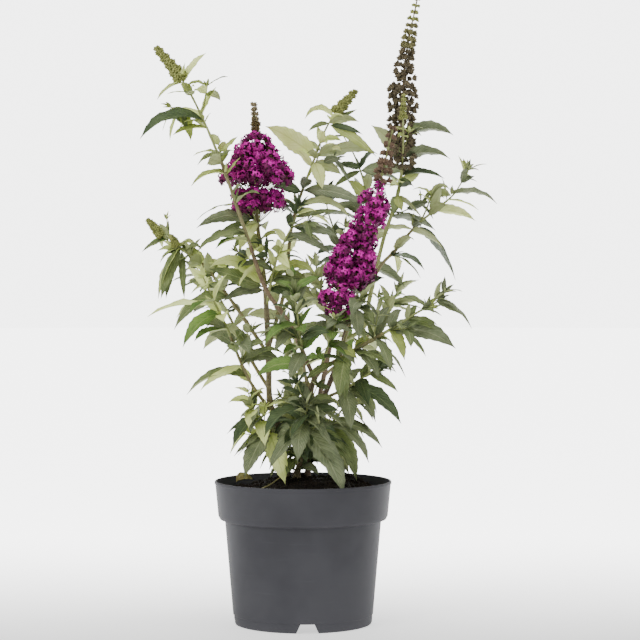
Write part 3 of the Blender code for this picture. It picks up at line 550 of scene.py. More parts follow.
def scatter(pile, patterns, count, sizes, finishes, chance, middle=(0, 0), spread=SCATTER_WIDE):
    """Sets flattened lumps down on the compost, half sunk in it."""
    for _ in range(count):
        out = spread * math.sqrt(chance.random())
        angle = chance.uniform(0, math.tau)
        x = middle[0] + out * math.cos(angle)
        y = middle[1] + out * math.sin(angle)
        if math.hypot(x, y) > SCATTER_WIDE:
            continue
        size = sizes[0] * (sizes[1] / sizes[0]) ** (chance.random() ** 2.5)
        pattern = chance.choice(patterns)
        swing = Euler([chance.uniform(0, math.tau) for _ in range(3)]).to_matrix()
        corners = pattern.corners @ np.array(swing).T * (size, size, size * 0.7)
        pile.add(pattern, corners + (x, y, soil_height(x, y) + size * 0.12), (chance.choice(finishes),))


chance = random.Random("crumbs")
crumbs = Pile()
fine_lumps = [lump(1, seed) for seed in range(5)]
big_lumps = [lump(2, seed) for seed in range(5, 10)]
scatter(crumbs, fine_lumps, 3000, (0.0009, 0.0042), ("soil", "crumb", "crumb"), chance)
scatter(crumbs, big_lumps, 260, (0.0030, 0.0085), ("soil", "crumb"), chance)
scatter(crumbs, big_lumps, 110, (0.0035, 0.0090), ("soil",), chance, CLOD, CLOD_SPREAD * 1.15)
crumb_piece = crumbs.make("compost_crumbs")
print("crumbs:", len(crumbs.parts), "lumps,", len(crumb_piece.data.polygons), "faces")

# %% [markdown]
# ## How the bush grows
# Each shoot is one smooth line through a few places. Its lower part is bare wood, and the rest carries
# leaves in opposite pairs, each pair turned a quarter from the one below, with short side twigs in their
# axils. The table holds the lines, and for the leaves that make the plant's outline a place each. All other
# leaves come from a rule with a fixed seed, so the bush grows the same way every time.

# %% The shoots
# A shoot runs from its foot, at a share of another limb or on the compost (height None), to its tip. It has a
# line in mm, the share of it that is bare, radii in mm, pairs of leaves, their length in mm, the turn of the
# first pair, greens, and leaves with places of their own: the share of the stem, compass and rise in degrees,
# length and sag in mm, green.
Shoot = namedtuple("Shoot", "limb mass on line bare foot tip pairs leaf turn greens marked heads")
# An open flower head with its radii in mm, and a spike of buds with its whorls and reach in mm.
Head = namedtuple("Head", "start end radii")
Spike = namedtuple("Spike", "start end whorls foot tip")
Leaf = namedtuple("Leaf", "root ahead length sag roll small", defaults=(False,))

SHOOTS = [Shoot(*row) for row in (
    ("cane_left", "bloom_centre", None,
     ((-23, -1, None), (-32, -8, 254), (-43, -8, 290), (-45, 0, 352), (-49, 4, 432), (-56, 6, 491),
      (-60, 6, 534), (-61, 6, 634), (-64, 6, 675)),
     0.5, 4.1, 0.9, 5, 64, 0, "lime pale green deep",
     ((0.04, 176, 40, 82, 20, "lime"), (0.08, -20, 30, 55, 30, "pale"), (0.2, 200, 62, 50, 4, "mid"),
      (0.1, 215, 10, 60, 30, "pale")),
     (Head(0.432, 0.528, (40, 37)), Head(0.585, 0.83, (46, 46, 40, 30, 18)),
      Spike(0.83, 0.99, 6, 7.5, 4.5))),
    ("cane_right", "bloom_right", None,
     ((5, -1, None), (21, -10, 274), (41, -25, 330), (54, -40, 375), (62, -50, 410), (69, -58, 469),
      (85, -62, 516), (96, -60, 560), (115, -50, 639)),
     0.47, 3.8, 0.9, 1, 55, 60, "mid green dark",
     ((0.05, -60, 10, 58, 34, "mid"),),
     (Head(0.17, 0.72, (31, 35, 32, 25, 24, 21, 21, 22, 18, 11)), Spike(0.71, 0.99, 6, 14, 6))),
    ("cane_front", "foliage_lower_right", None,
     ((-8, -13, None), (1, -30, 240), (8, -45, 286), (18, -52, 325), (54, -70, 350), (113, -100, 386),
      (144, -110, 406), (168, -115, 419), (177, -120, 431)),
     0.5, 3.8, 0.8, 6, 55, 80, "mid grey lime green",
     ((0.48, -6, 12, 88, 40, "grey"), (0.82, 172, 40, 44, 18, "mid"), (0.92, -12, -8, 44, 30, "grey"),
      (0.16, -40, 4, 66, 24, "mid"), (0.1, -100, -30, 62, 22, "mid")), ()),
    ("cane_back", "foliage_back_top", None,
     ((-9, 13, None), (11, 35, 248), (29, 60, 326), (49, 80, 418), (80, 98, 490), (84, 110, 559),
      (71, 120, 607), (53, 125, 641)),
     0.52, 3.6, 0.8, 6, 66, 20, "green mid dark grey",
     ((0.45, 170, 30, 74, 30, "green"), (0.7, 10, 25, 60, 30, "dark")), ()),
    ("bough_top_left", "foliage_top_left", ("cane_front", 0.395),
     ((-16, -50, 388), (-47, -45, 434), (-69, -45, 495), (-99, -55, 583), (-125, -65, 647), (-150, -75, 695),
      (-184, -85, 738)),
     0.4, 2.9, 0.7, 4, 50, 0, "lime mid lime bright",
     ((0.61, -168, 16, 84, 48, "deep"), (0.8, 8, 58, 54, 8, "pale"), (0.35, 178, 8, 44, 22, "lime"),
      (0.06, -170, 6, 64, 30, "mid"), (0.62, 2, 32, 46, 38, "grey"), (0.6, 150, 36, 48, 8, "pale"),
      (0.63, 40, 62, 50, 6, "pale"), (0.34, 20, 55, 34, 4, "lime"), (0.8, 190, -10, 34, 16, "pale")),
     (Spike(0.82, 0.99, 9, 9.5, 5),)),
    ("bough_left", "foliage_left", ("cane_left", 0.33),
     ((-74, -3, 392), (-105, 0, 435), (-129, 5, 465), (-154, 12, 482), (-176, 18, 496), (-203, 20, 524)),
     0.3, 2.6, 0.6, 6, 50, 90, "lime bright mid lime",
     ((0.66, -125, -38, 56, 30, "lime"), (0.67, 20, 50, 36, 26, "lime"), (0.46, -8, 14, 46, 32, "pale"),
      (0.1, -176, 4, 72, 46, "mid"), (0.8, 100, 10, 40, 20, "lime")),
     (Spike(0.84, 0.99, 7, 8, 4),)),
    ("bough_left_front", "foliage_left_front", ("cane_left", 0.17),
     ((-70, -30, 319), (-96, -65, 385), (-112, -90, 421), (-124, -108, 450)),
     0.22, 2.4, 0.8, 6, 66, 30, "pale grey mid bright",
     ((0.08, 178, 15, 82, 44, "mid"), (0.72, 176, 10, 90, 28, "pale"),
      (0.66, -170, -10, 48, 34, "bright")), ()),
    ("bough_left_back", "foliage_left_back", ("cane_left", 0.24),
     ((-66, 25, 337), (-89, 55, 379), (-114, 82, 424), (-144, 95, 462)),
     0.25, 2.4, 0.8, 6, 66, 60, "grey green grey deep",
     ((0.55, 178, 20, 70, 36, "lime"),), ()),
    ("bough_top_centre", "foliage_top_centre", ("cane_left", 0.345),
     ((-34, 20, 396), (-23, 35, 439), (-14, 60, 523), (14, 80, 605), (35, 85, 656), (70, 90, 698)),
     0.27, 2.8, 0.7, 6, 58, 90, "pale green lime grey dark",
     ((0.62, 178, 42, 90, 20, "pale"), (0.62, -2, 25, 92, 36, "grey"), (0.34, 0, 25, 80, 46, "mid"),
      (0.83, 178, 40, 50, 34, "lime"), (0.86, 8, 45, 44, 4, "lime"), (0.36, 176, 20, 70, 34, "deep")),
     (Spike(0.86, 0.99, 7, 9, 5),)),
    ("bough_centre_front", "foliage_centre_front", ("cane_left", 0.46),
     ((-36, -20, 465), (-24, -35, 494), (-11, -45, 520), (-3, -50, 541)),
     0.16, 2.0, 0.7, 5, 52, 10, "dark pale grey green",
     ((0.1, -12, 6, 56, 26, "mid"), (0.55, -10, 30, 62, 34, "mid")), ()),
    ("bough_tall", "spent_spike", ("cane_right", 0.4),
     ((79, -5, 385), (86, 10, 419), (105, 30, 498), (122, 35, 550), (130, 35, 596), (130, 35, 655),
      (134, 35, 734), (149, 30, 812)),
     0.3, 3.0, 0.6, 2, 60, 30, "lime green pale dark",
     ((0.47, -8, 25, 74, 30, "green"), (0.39, -14, 20, 68, 26, "green"), (0.32, 16, 12, 62, 16, "dark"),
      (0.35, 178, 50, 50, 4, "pale"), (0.28, 196, 10, 62, 34, "green"), (0.24, -30, -20, 42, 20, "mid")),
     (Spike(0.34, 0.63, 10, 21, 20), Spike(0.65, 0.995, 13, 18, 5))),
    ("bough_right", "foliage_right", ("cane_right", 0.435),
     ((97, 0, 458), (121, 20, 484.5), (150, 40, 518), (191, 50, 551), (204, 53, 566), (218, 55, 591)),
     0.33, 2.7, 0.6, 5, 56, 90, "green grey lime mid",
     ((0.44, -14, -16, 56, 54, "dark"), (0.8, -2, 14, 60, 28, "green"), (0.78, 176, 22, 40, 18, "mid"),
      (0.62, -28, 8, 60, 22, "lime"), (0.16, -30, -8, 44, 24, "mid"), (0.14, 0, 18, 54, 34, "dark"),
      (0.42, 170, 12, 60, 22, "grey"), (0.95, 70, 60, 30, 2, "lime"), (0.95, 200, 72, 30, 2, "lime")), ()),
    ("bough_lower_bloom", "bloom_lower", ("cane_front", 0.43),
     ((28, -68, 350), (38, -85, 379), (43, -92, 404), (45, -94, 444)),
     0.2, 2.0, 0.8, 3, 50, 0, "bright lime grey",
     ((0.35, -10, 20, 58, 30, "deep"), (0.35, 172, 20, 56, 30, "mid")),
     (Head(0.6, 0.98, (18, 25, 26, 23, 14)),)),
    ("bough_front", "foliage_front", ("cane_front", 0.3),
     ((1, -80, 345), (-5, -110, 394), (-10, -122, 430)),
     0.2, 2.2, 0.7, 6, 64, 0, "bright mid grey deep", (), ()),
    ("bough_front_right", "foliage_front_right", ("cane_right", 0.36),
     ((62, -76, 396), (78, -118, 430), (86, -136, 462)),
     0.3, 2.2, 0.7, 6, 58, 40, "mid grey deep",
     ((0.3, -24, -8, 60, 46, "mid"), (0.12, -110, -50, 52, 12, "bright"),
      (0.16, 10, 10, 46, 40, "mid")), ()),
    ("bough_low_right", "foliage_low_right", ("cane_right", 0.225),
     ((54, -36, 306), (80, -56, 324), (102, -64, 338)),
     0.15, 2.2, 0.8, 5, 62, 70, "deep grey mid",
     ((0.3, -10, 0, 70, 46, "deep"), (0.45, -50, -20, 46, 20, "mid"), (0.16, -30, 6, 52, 44, "grey")), ()),
    ("bough_back_left", "foliage_back_left", ("cane_back", 0.2),
     ((-6, 90, 338), (-28, 130, 384), (-40, 146, 424)),
     0.22, 2.3, 0.7, 6, 68, 20, "grey mid deep", (), ()),
    ("bough_back", "foliage_back", ("cane_back", 0.37),
     ((29, 112, 404), (19, 142, 448), (14, 152, 490)),
     0.22, 2.2, 0.7, 6, 60, 70, "grey mid deep", (), ()),
    ("bough_back_right", "foliage_back_right", ("cane_back", 0.29),
     ((68, 86, 352), (106, 110, 392), (130, 122, 436)),
     0.25, 2.3, 0.7, 6, 66, 0, "grey mid bright", (), ()),
    ("bough_back_centre", "foliage_back_centre", ("cane_back", 0.475),
     ((52, 100, 469), (41, 115, 511), (33, 120, 537), (29, 120, 560)),
     0.2, 2.0, 0.7, 5, 60, 45, "grey dark green", (), ()),
    (None, "foliage_foot_left", ("cane_left", 0.09),
     ((-50, -20, 256), (-66, -32, 284)),
     0, 2.0, 0.8, 6, 66, 10, "grey mid deep pale",
     ((0.4, -120, -30, 66, 24, "grey"), (0.42, 178, 50, 62, 55, "grey")), ()),
    (None, "foliage_foot_front", ("cane_front", 0.12),
     ((2, -56, 262), (6, -74, 290)),
     0, 2.0, 0.8, 6, 74, 50, "grey grey mid deep",
     ((0.45, -65, -40, 88, 24, "grey"), (0.8, -150, 20, 64, 50, "deep")), ()),
    (None, "foliage_foot_right", ("cane_right", 0.11),
     ((36, 4, 258), (56, 12, 284)),
     0, 2.0, 0.8, 6, 68, 80, "deep grey mid",
     ((0.35, -34, 6, 66, 50, "grey"), (0.5, -4, 5, 66, 38, "grey")), ()),
    (None, "foliage_foot_back", ("cane_back", 0.11),
     ((-4, 50, 258), (-16, 70, 286)),
     0, 2.0, 0.8, 6, 68, 30, "deep grey mid", (), ()),
)]
print("shoots:", len(SHOOTS), "and", sum(len(shoot.marked) for shoot in SHOOTS), "leaves set by hand")

# %% Lines and stems
COMPOST_GAP = 0.0003
COURSE_STEP = 0.002
LOOK_AHEAD = 0.003
STEM_STEP = 0.030
KEEPS_WIDE = 2.2


class Course:
    """A smooth line through a few places, measured along its length."""

    def __init__(self, knots):
        knots = [np.array(knot, float) for knot in knots]
        ends = [knots[0] * 2 - knots[1], *knots, knots[-1] * 2 - knots[-2]]
        points = [knots[0]]
        for a, b, c, d in zip(ends, ends[1:], ends[2:], ends[3:]):
            steps = max(2, round(np.linalg.norm(c - b) / COURSE_STEP))
            for i in range(1, steps + 1):
                t = i / steps
                points.append(0.5 * (2 * b + (c - a) * t + (2 * a - 5 * b + 4 * c - d) * t**2
                                     + (3 * b - 3 * c + d - a) * t**3))
        self.points = np.array(points)
        steps = np.linalg.norm(np.diff(self.points, axis=0), axis=1)
        self.reach = np.concatenate([[0], np.cumsum(steps)])
        self.length = self.reach[-1]

    def at(self, way):
        return np.stack([np.interp(way, self.reach, self.points[:, k]) for k in range(3)], -1)

    def heading(self, way):
        way = np.asarray(way)
        return unit(self.at(way + LOOK_AHEAD) - self.at(way - LOOK_AHEAD))


class Stem(namedtuple("Stem", "course start end foot_radius tip_radius")):
    """A stretch of a course, from `start` to `end` along it, with a taper."""

    def way(self, share):
        return self.start + (self.end - self.start) * share

    def up(self, share):
        return self.course.heading(self.way(share))

    def radius(self, way, angle=0.0):
        """The same all round, so the angle doesn't matter."""
        along = np.maximum(way / self.course.length, 0.0)
        return self.foot_radius + (self.tip_radius - self.foot_radius) * along**KEEPS_WIDE

    def heart(self, share):
        """The middle of the frame's faceted stem at a share of the stretch, where its leaves are rooted."""
        way = self.way(share)
        count = max(2, round((self.end - self.start) / STEM_STEP) + 1)
        ways = np.linspace(self.start, self.end, count)
        i = max(1, min(count - 1, int((ways < way).sum())))
        part = (way - ways[i - 1]) / (ways[i] - ways[i - 1])
        low, high = self.course.at(ways[i - 1]), self.course.at(ways[i])
        return low + (high - low) * part


LIMBS = {}
MASSES = {}
for shoot in SHOOTS:
    line = [(x / 1000, y / 1000, SOIL_TOP if z is None else z / 1000) for x, y, z in shoot.line]
    if shoot.on:
        carrier, share = shoot.on
        line.insert(0, LIMBS[carrier].course.at(LIMBS[carrier].course.length * share))
    course = Course(line)
    split = course.length * shoot.bare
    radii = shoot.foot / 1000, shoot.tip / 1000
    if shoot.limb:
        LIMBS[shoot.limb] = Stem(course, 0.0, split, *radii)
    MASSES[shoot.mass] = Stem(course, split + COMPOST_GAP if shoot.limb else 0.0, course.length, *radii)
print("limbs:", len(LIMBS), "total", round(sum(limb.end for limb in LIMBS.values()), 2), "m")

# %% [markdown]
# ## The rule for leaves and side twigs
# The rule is the one that grew the solids, with the same seeds, so its leaves fall in the same places. The
# solids keep only the leaves that had room. So each leaf is looked for in the solid: if its middle and its
# tip lie on it there, it stands. A leaf that isn't there, or that was swung aside to make room, is tried
# swung as well, and is left out if no swing fits.

# %% The rule
FIRST_PAIR = 0.08
CROWDING = 0.85
WANDER = 16
LEAF_TAPER = (1.08, 0.5)
LEAF_RISE = (18, 30)
LEAF_SAG = (0.46, 0.22)
FOOT_DROOP = 34
FOOT_SAG = 1.5
TWIG_CHANCE = 0.62
TWIG_LENGTH = (0.030, 0.052)
TWIG_LEAN = (38, 58)
TWIG_RADII = (0.0015, 0.0011)
TWIG_PAIRS = (0.52, 0.93)
TWIG_LEAF = (0.026, 0.040)
SWINGS = (0, 24, -24, 48, -48)


def compass(degrees, rise):
    flat, up = math.radians(degrees), math.radians(rise)
    return np.array((math.cos(flat) * math.cos(up), math.sin(flat) * math.cos(up), math.sin(up)))


def leaf_on(stem, share, out, rise, length, sag, roll, small=False):
    """A leaf that stands out from the stem by `out`, raised towards the stem's own heading."""
    ahead = out * math.cos(rise) + stem.up(share) * math.sin(rise)
    return Leaf(stem.heart(share), unit(ahead), length, sag, roll, small)


def top_share(shoot):
    """Where the leaves end and the flower head begins."""
    return min([head.start for head in shoot.heads] or [0.98]) - 0.01


def side_of(stem, share, degrees):
    """A direction square to the stem, turned round it by some degrees."""
    return turn(square(np.array((1.0, 0, 0)), stem.up(share)), stem.up(share), math.radians(degrees))


def growth(shoot, stem):
    """What the rule grows up a mass's stem: (leaf,) and (twig, its leaves) in turn."""
    chance = random.Random(shoot.mass)
    for share, degrees, rise, length, sag, _ in shoot.marked:
        roll = math.radians(chance.uniform(-45, 45))
        yield (Leaf(stem.heart(share), compass(degrees, rise), length / 1000, sag / 1000, roll),)
    top = top_share(shoot)
    for pair in range(shoot.pairs):
        share = FIRST_PAIR + (top - FIRST_PAIR) * ((pair + 0.5) / shoot.pairs) ** CROWDING
        side = side_of(stem, share, shoot.turn + 90 * pair + chance.uniform(-WANDER, WANDER))
        for hand in (1, -1):
            length = shoot.leaf * (LEAF_TAPER[0] - LEAF_TAPER[1] * share) * chance.uniform(0.82, 1.12) / 1000
            rise = LEAF_RISE[0] + LEAF_RISE[1] * share + chance.uniform(-9, 9)
            sag = length * (LEAF_SAG[0] - LEAF_SAG[1] * share) * chance.uniform(0.7, 1.25)
            if not shoot.limb:
                rise -= FOOT_DROOP
                sag *= FOOT_SAG
            roll = math.radians(chance.uniform(-50, 50))
            yield (leaf_on(stem, share, side * hand, math.radians(rise), length, sag, roll),)
        found = side_twig(stem, share, side * chance.choice((1, -1)), chance)
        if chance.random() < TWIG_CHANCE:
            yield found


def side_twig(stem, share, out, chance):
    """A short twig from a leaf's axil, with two small pairs of leaves, the upper pair near its tip."""
    foot = stem.heart(share)
    up = stem.up(share)
    length = chance.uniform(*TWIG_LENGTH) * (1.1 - 0.4 * share)
    lean = math.radians(chance.uniform(*TWIG_LEAN))
    ahead = out * math.cos(lean) + up * math.sin(lean)
    course = Course((foot, foot + ahead * length))
    twig = Stem(course, 0.0, course.length, *TWIG_RADII)
    leaves = []
    side = unit(np.cross(ahead, up))
    for pair, place in enumerate(TWIG_PAIRS):
        side = turn(side, ahead, math.radians(90 * pair + chance.uniform(-20, 20)))
        for hand in (1, -1):
            size = chance.uniform(*TWIG_LEAF) * (1.05 - 0.2 * pair)
            rise = math.radians(chance.uniform(15, 48))
            sag = size * chance.uniform(0.08, 0.4)
            roll = math.radians(chance.uniform(-30, 30))
            leaves.append(leaf_on(twig, place, side * hand, rise, size, sag, roll, small=True))
    return twig, leaves


# %% What stands in the solids
ON_SOLID = 0.0018
ON_TWIG = 0.003
LEAF_PROBES = (0.3, 0.62, 1.0)
SMALL_PROBES = (0.36, 1.0)
TWIG_PROBES = (0.5, 0.95)


class Solid:
    """The surface of one node, to ask how near a point lies to it."""

    def __init__(self, name):
        mesh = nodes[name].data
        self.tree = BVHTree.FromPolygons([v.co for v in mesh.vertices], [p.vertices for p in mesh.polygons])

    def near(self, points, reach):
        return all(self.tree.find_nearest(Vector(point), reach)[0] is not None for point in points)


def spine(leaf, t):
    """A leaf's midrib at shares of its length: it sags more and more towards its tip."""
    t = np.asarray(t, float)[..., None]
    return leaf.root + leaf.ahead * leaf.length * t - UP * leaf.sag * t**2


def standing(leaf, solid, shares, reach):
    """The leaf, swung if it needs it, where all its points at `shares` lie by the solid, or nothing."""
    for degrees in SWINGS:
        candidate = leaf._replace(ahead=turn(leaf.ahead, UP, math.radians(degrees)))
        if solid.near(spine(candidate, shares), reach):
            return [candidate]
    return []


def grown(shoot):
    """The leaves and the twigs of a mass that its solid has, each with the number of its spray."""
    solid = Solid(shoot.mass)
    leaves = []
    twigs = []
    for spray, (first, *small) in enumerate(growth(shoot, MASSES[shoot.mass])):
        if not small:
            leaves += [(leaf, spray) for leaf in standing(first, solid, LEAF_PROBES, ON_SOLID)]
        elif solid.near([first.course.at(first.end * share) for share in TWIG_PROBES], ON_TWIG):
            twigs.append((first, spray))
            for leaf in small[0]:
                leaves += [(found, spray) for found in standing(leaf, solid, SMALL_PROBES, ON_SOLID)]
    return solid, leaves, twigs


# %% [markdown]
# ## The leaf
# A butterfly bush's leaf is a lance: narrow at its stalk, widest a third of the way up, and drawn out to a
# fine tip, with small teeth along its edges. The pattern is a flat grid pinched to that outline and given a
# thickness, so that it is closed and its back can take another finish. Setting it down bends it along its
# midrib, folds it a little along the middle and ripples its edges.

# %% Leaf patterns
BROADEST = 0.36
FALL = 0.92
TEETH = 0.06
STALK = 0.05
BLADE = 0.91


def lance(share):
    """Half the leaf's width, from 0 to 1, at a share of its length: a lance with a stalk and a fine tip."""
    blade = min(1, max(0, (share - STALK) / BLADE))
    climb = FALL * BROADEST / (1 - BROADEST)
    full = (blade / BROADEST) ** climb * ((1 - blade) / (1 - BROADEST)) ** FALL
    return max(full, 0.08 * min(1, (1 - share) * 14) if share > 0 else 0)


def leaf_pattern(along, across, teeth):
    """A closed blade one long, two wide and one thick, with the face and the back as slots 0 and 1."""
    bm = bmesh.new()
    bmesh.ops.create_grid(bm, x_segments=along, y_segments=across, size=0.5)
    layer = bm.loops.layers.uv.new("surface")
    for face in bm.faces:
        for loop in face.loops:
            loop[layer].uv = (loop.vert.co.x + 0.5, loop.vert.co.y + 0.5)
    for vert in bm.verts:
        share = vert.co.x + 0.5
        side = vert.co.y * 2
        step = round(share * along)
        tooth = 1 + (teeth if step % 2 else -teeth) if abs(side) > 0.99 and 0 < step < along else 1
        vert.co = (share, side * lance(min(max(share, 0), 1)) * tooth, 0)
    bmesh.ops.remove_doubles(bm, verts=bm.verts, dist=0.0001)
    bmesh.ops.solidify(bm, geom=bm.faces[:], thickness=1)
    bmesh.ops.recalc_face_normals(bm, faces=bm.faces)
    for face in bm.faces:
        face.material_index = 1 if face.normal.z < -0.5 else 0
    middle = sum(vert.co.z for vert in bm.verts) / len(bm.verts)
    for vert in bm.verts:
        vert.co.z -= middle
    return Pattern(bm)


GRAND_LEAF = leaf_pattern(16, 4, TEETH)
SMALL_LEAF = leaf_pattern(8, 2, 0.0)
print("leaf patterns:", len(GRAND_LEAF.sides), "and", len(SMALL_LEAF.sides), "faces")

# %% Setting a leaf down
LEAF_SLIM = 0.33
LEAF_THICK = 0.00042
HOOKED = 2.5
LIGHT_UP = 0.7
TURNED = 0.7
MOST_ROLL = 1.3
SMALL_BELOW = 0.026
WIDTHS = (0.85, 1.12)
FOLDS = (0.15, 0.60)
CURLS = (0.05, 0.30)
RIPPLES = (0.03, 0.14)
WAVES = (2.0, 3.6)
SWAY = 0.045
TWIST = 0.35


def slope(leaf, t):
    """Which way the midrib runs at shares of its length, and how fast."""
    return leaf.ahead * leaf.length - UP * (HOOKED * leaf.sag * t**(HOOKED - 1))[:, None]


def facing(leaf, level, light):
    """The roll that turns the leaf's face to the light, which comes from above and outside the plant."""
    along = unit(leaf.ahead * leaf.length - UP * leaf.sag)
    across = square(level, along)
    above = np.cross(along, across)
    turned = TURNED if light is None else 1
    if light is None:
        out = (spine(leaf, 0.5) - (0.02, 0, 0)) * (1, 1, 0)
        light = UP * LIGHT_UP + unit(out + (0, -0.006, 0))
    roll = math.atan2(-float(across @ light), float(above @ light))
    return turned * min(MOST_ROLL, max(-MOST_ROLL, roll))


def evenly(leaf, shares):
    """Where along the sagging leaf its shares of real length fall, and how long it really is."""
    t = np.linspace(0, 1, 41)
    steps = np.linalg.norm(slope(leaf, t), axis=1)
    reach = np.concatenate([[0], np.cumsum((steps[1:] + steps[:-1]) / 80)])
    return np.interp(shares * reach[-1], reach, t), reach[-1]


def lay_leaf(pile, leaf, finishes, chance, slim=LEAF_SLIM, fold=None, light=None):
    """Bends the leaf pattern along the leaf's midrib."""
    pattern = SMALL_LEAF if leaf.length < SMALL_BELOW else GRAND_LEAF
    share, side, lift = pattern.corners.T
    t, long = evenly(leaf, share)
    half = long * slim / 2 * chance.uniform(*WIDTHS)
    fold = chance.uniform(*FOLDS) if fold is None else fold
    curl = chance.uniform(*CURLS)
    ripple = chance.uniform(*RIPPLES) * half
    waves = chance.uniform(*WAVES) * math.tau
    phase = chance.uniform(0, math.tau)
    sway = chance.uniform(-SWAY, SWAY) * leaf.length
    twist = chance.uniform(-TWIST, TWIST)
    flat = leaf.ahead * (1, 1, 0)
    if np.linalg.norm(flat) < 0.15:
        flat = np.array((1.0, 0, 0))
    level = unit(np.array((-flat[1], flat[0], 0)))
    along = unit(slope(leaf, t))
    across = unit(level - along * (along @ level)[:, None])
    above = np.cross(along, across)
    roll = (leaf.roll * 0.7 + facing(leaf, level, light) + twist * (t - 0.4))[:, None]
    across, above = across * np.cos(roll) + above * np.sin(roll), above * np.cos(roll) - across * np.sin(roll)
    out = np.abs(side)
    raised = (fold * out - curl * out**2) * half + ripple * np.sin(waves * t + phase) * out**2
    middle = leaf.root + np.outer(t * leaf.length, leaf.ahead) - np.outer(leaf.sag * t**HOOKED, UP)
    middle += across * (sway * np.sin(math.pi * t))[:, None]
    corners = middle + across * (side * half)[:, None] + above * (raised + lift * LEAF_THICK)[:, None]
    pile.add(pattern, corners, finishes)


# %% [markdown]
# ## Stems
# A stem is a tube bent along its shoot's line. The pattern is a straight cylinder cut into rings. On the
# woody limbs the rings are fine enough to carry the bark itself: shallow ridges that run along the cane and
# wander, a swollen node every few centimetres, and a flare where it leaves the compost.

# %% Tubes
@functools.cache
def tube_pattern(rings, sides):
    """A closed straight tube of radius one along +Z from 0 to 1, cut into equal rings."""
    bm = bmesh.new()
    bmesh.ops.create_cone(bm, cap_ends=True, segments=sides, radius1=1, radius2=1, depth=1)
    upright = [edge for edge in bm.edges if abs(edge.verts[0].co.z - edge.verts[1].co.z) > 0.5]
    bmesh.ops.subdivide_edges(bm, edges=upright, cuts=rings - 1, use_grid_fill=True)
    bmesh.ops.translate(bm, verts=bm.verts, vec=(0, 0, 0.5))
    return Pattern(bm)


def frames(course, ways):
    """Two directions square to the course at each way, carried along it without twisting."""
    heads = course.heading(ways)
    side = np.cross(heads[0], (0.31, 0.87, 0.2))
    sides = []
    for head in heads:
        side = square(side, head)
        sides.append(side)
    return np.array(sides), np.cross(heads, sides)


def lay_tube(pile, course, start, end, radius, finish, step, sides):
    """Bends a tube along a course. `radius` gives its size at (way, angle)."""
    rings = max(1, round((end - start) / step))
    pattern = tube_pattern(rings, sides)
    x, y, share = pattern.corners.T
    ring = np.rint(share * rings).astype(int)
    ways = start + (end - start) * np.arange(rings + 1) / rings
    across, above = frames(course, ways)
    angle = np.arctan2(y, x)
    size = radius(ways[ring], angle)
    corners = course.at(ways)[ring] + (across[ring] * (np.cos(angle) * size)[:, None]
                                       + above[ring] * (np.sin(angle) * size)[:, None])
    pile.add(pattern, corners, (finish,))


# %% Woody limbs with their bark
NODE_SPACING = 0.052
FLARE = 0.0018
FLARE_HEIGHT = 0.0054
BARK_RIDGES = 5
RIDGE = 0.045
WRINKLE = 0.055
NODE_SWELL = 0.30
LIMB_FINISHES = {"cane_right": "bark_purple", "cane_back": "bark_purple", "bough_top_left": "stem_purple",
                 "bough_tall": "stem_green", "bough_centre_front": "stem_green",
                 "bough_lower_bloom": "stem_green"}


def bark_radius(stem, seed, flared):
    """The limb's size with ridges, wrinkles and swollen nodes, as a function of way and angle."""
    def radius(way, angle):
        base = stem.radius(way)
        drift = np.array([noise.noise((w * 40, seed, 0)) for w in way]) * 1.4
        ridges = RIDGE * np.sin(angle * BARK_RIDGES + drift * 3)
        fine = np.array([noise.fractal((math.cos(a) * 2.1, math.sin(a) * 2.1 + seed, w * 190), 1, 2, 3)
                         for a, w in zip(angle, way)]) * WRINKLE
        to_node = np.abs((way / NODE_SPACING) % 1 - 0.5) * 2
        swell = NODE_SWELL * np.exp(-(((1 - to_node) / 0.075) ** 2))
        swell = swell * (0.75 + 0.25 * np.cos(angle * 2 + seed))
        foot = FLARE / base * np.exp(-way / FLARE_HEIGHT) if flared else 0
        return base * (0.97 + ridges + fine + swell + foot)
    return radius


for shoot in SHOOTS:
    if not shoot.limb:
        continue
    stem = LIMBS[shoot.limb]
    pile = Pile()
    in_soil = shoot.on is None
    finish = LIMB_FINISHES.get(shoot.limb, "bark_brown" if in_soil else "stem_brown")
    lay_tube(pile, stem.course, 0.0 if in_soil else stem.foot_radius * 0.5, stem.end + 0.0008,
             bark_radius(stem, len(shoot.limb), in_soil), finish, step=0.0018, sides=16)
    piece = pile.make(f"{shoot.limb}_wood")
    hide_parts(shoot.limb)
print("woody limbs:", len(LIMBS))

# %% [markdown]
# ## Leafy shoots
# On each shoot the leaves of the solid come first, then what is too fine for it: a tuft of small leaves in
# some axils, a closed pair at the end of each twig, half-grown pairs between the big ones, and the bud that
# ends the shoot. Those stay within reach of the solid. Last come leaves and side twigs with places of their
# own, which stand free on the real bush too. Shoots of one age share a few greens.

# %% Greens
TONES = {
    "lime": ("face_lime", "back_pale"),
    "pale": ("back_pale", "back_pale"),
    "under": ("back_grey", "back_grey"),
    "bright": ("face_bright", "back_grey"),
    "mid": ("face_mid", "back_grey"),
    "grey": ("face_grey", "back_grey"),
    "deep": ("face_deep", "back_grey"),
    # green, dark and dull put a face green on the back as well: painted shade on undersides that hang in
    # shadow
    "green": ("face_mid", "face_grey"),
    "dark": ("face_deep", "face_deep"),
    "dull": ("face_grey", "face_grey"),
}


def tone_of(shoot, spray):
    """The face and back that a whole spray of a shoot takes. Leaves with places in its table come first."""
    if spray < len(shoot.marked):
        return TONES[shoot.marked[spray][-1]]
    return TONES[random.Random(f"{shoot.mass} {spray}").choice(shoot.greens.split())]


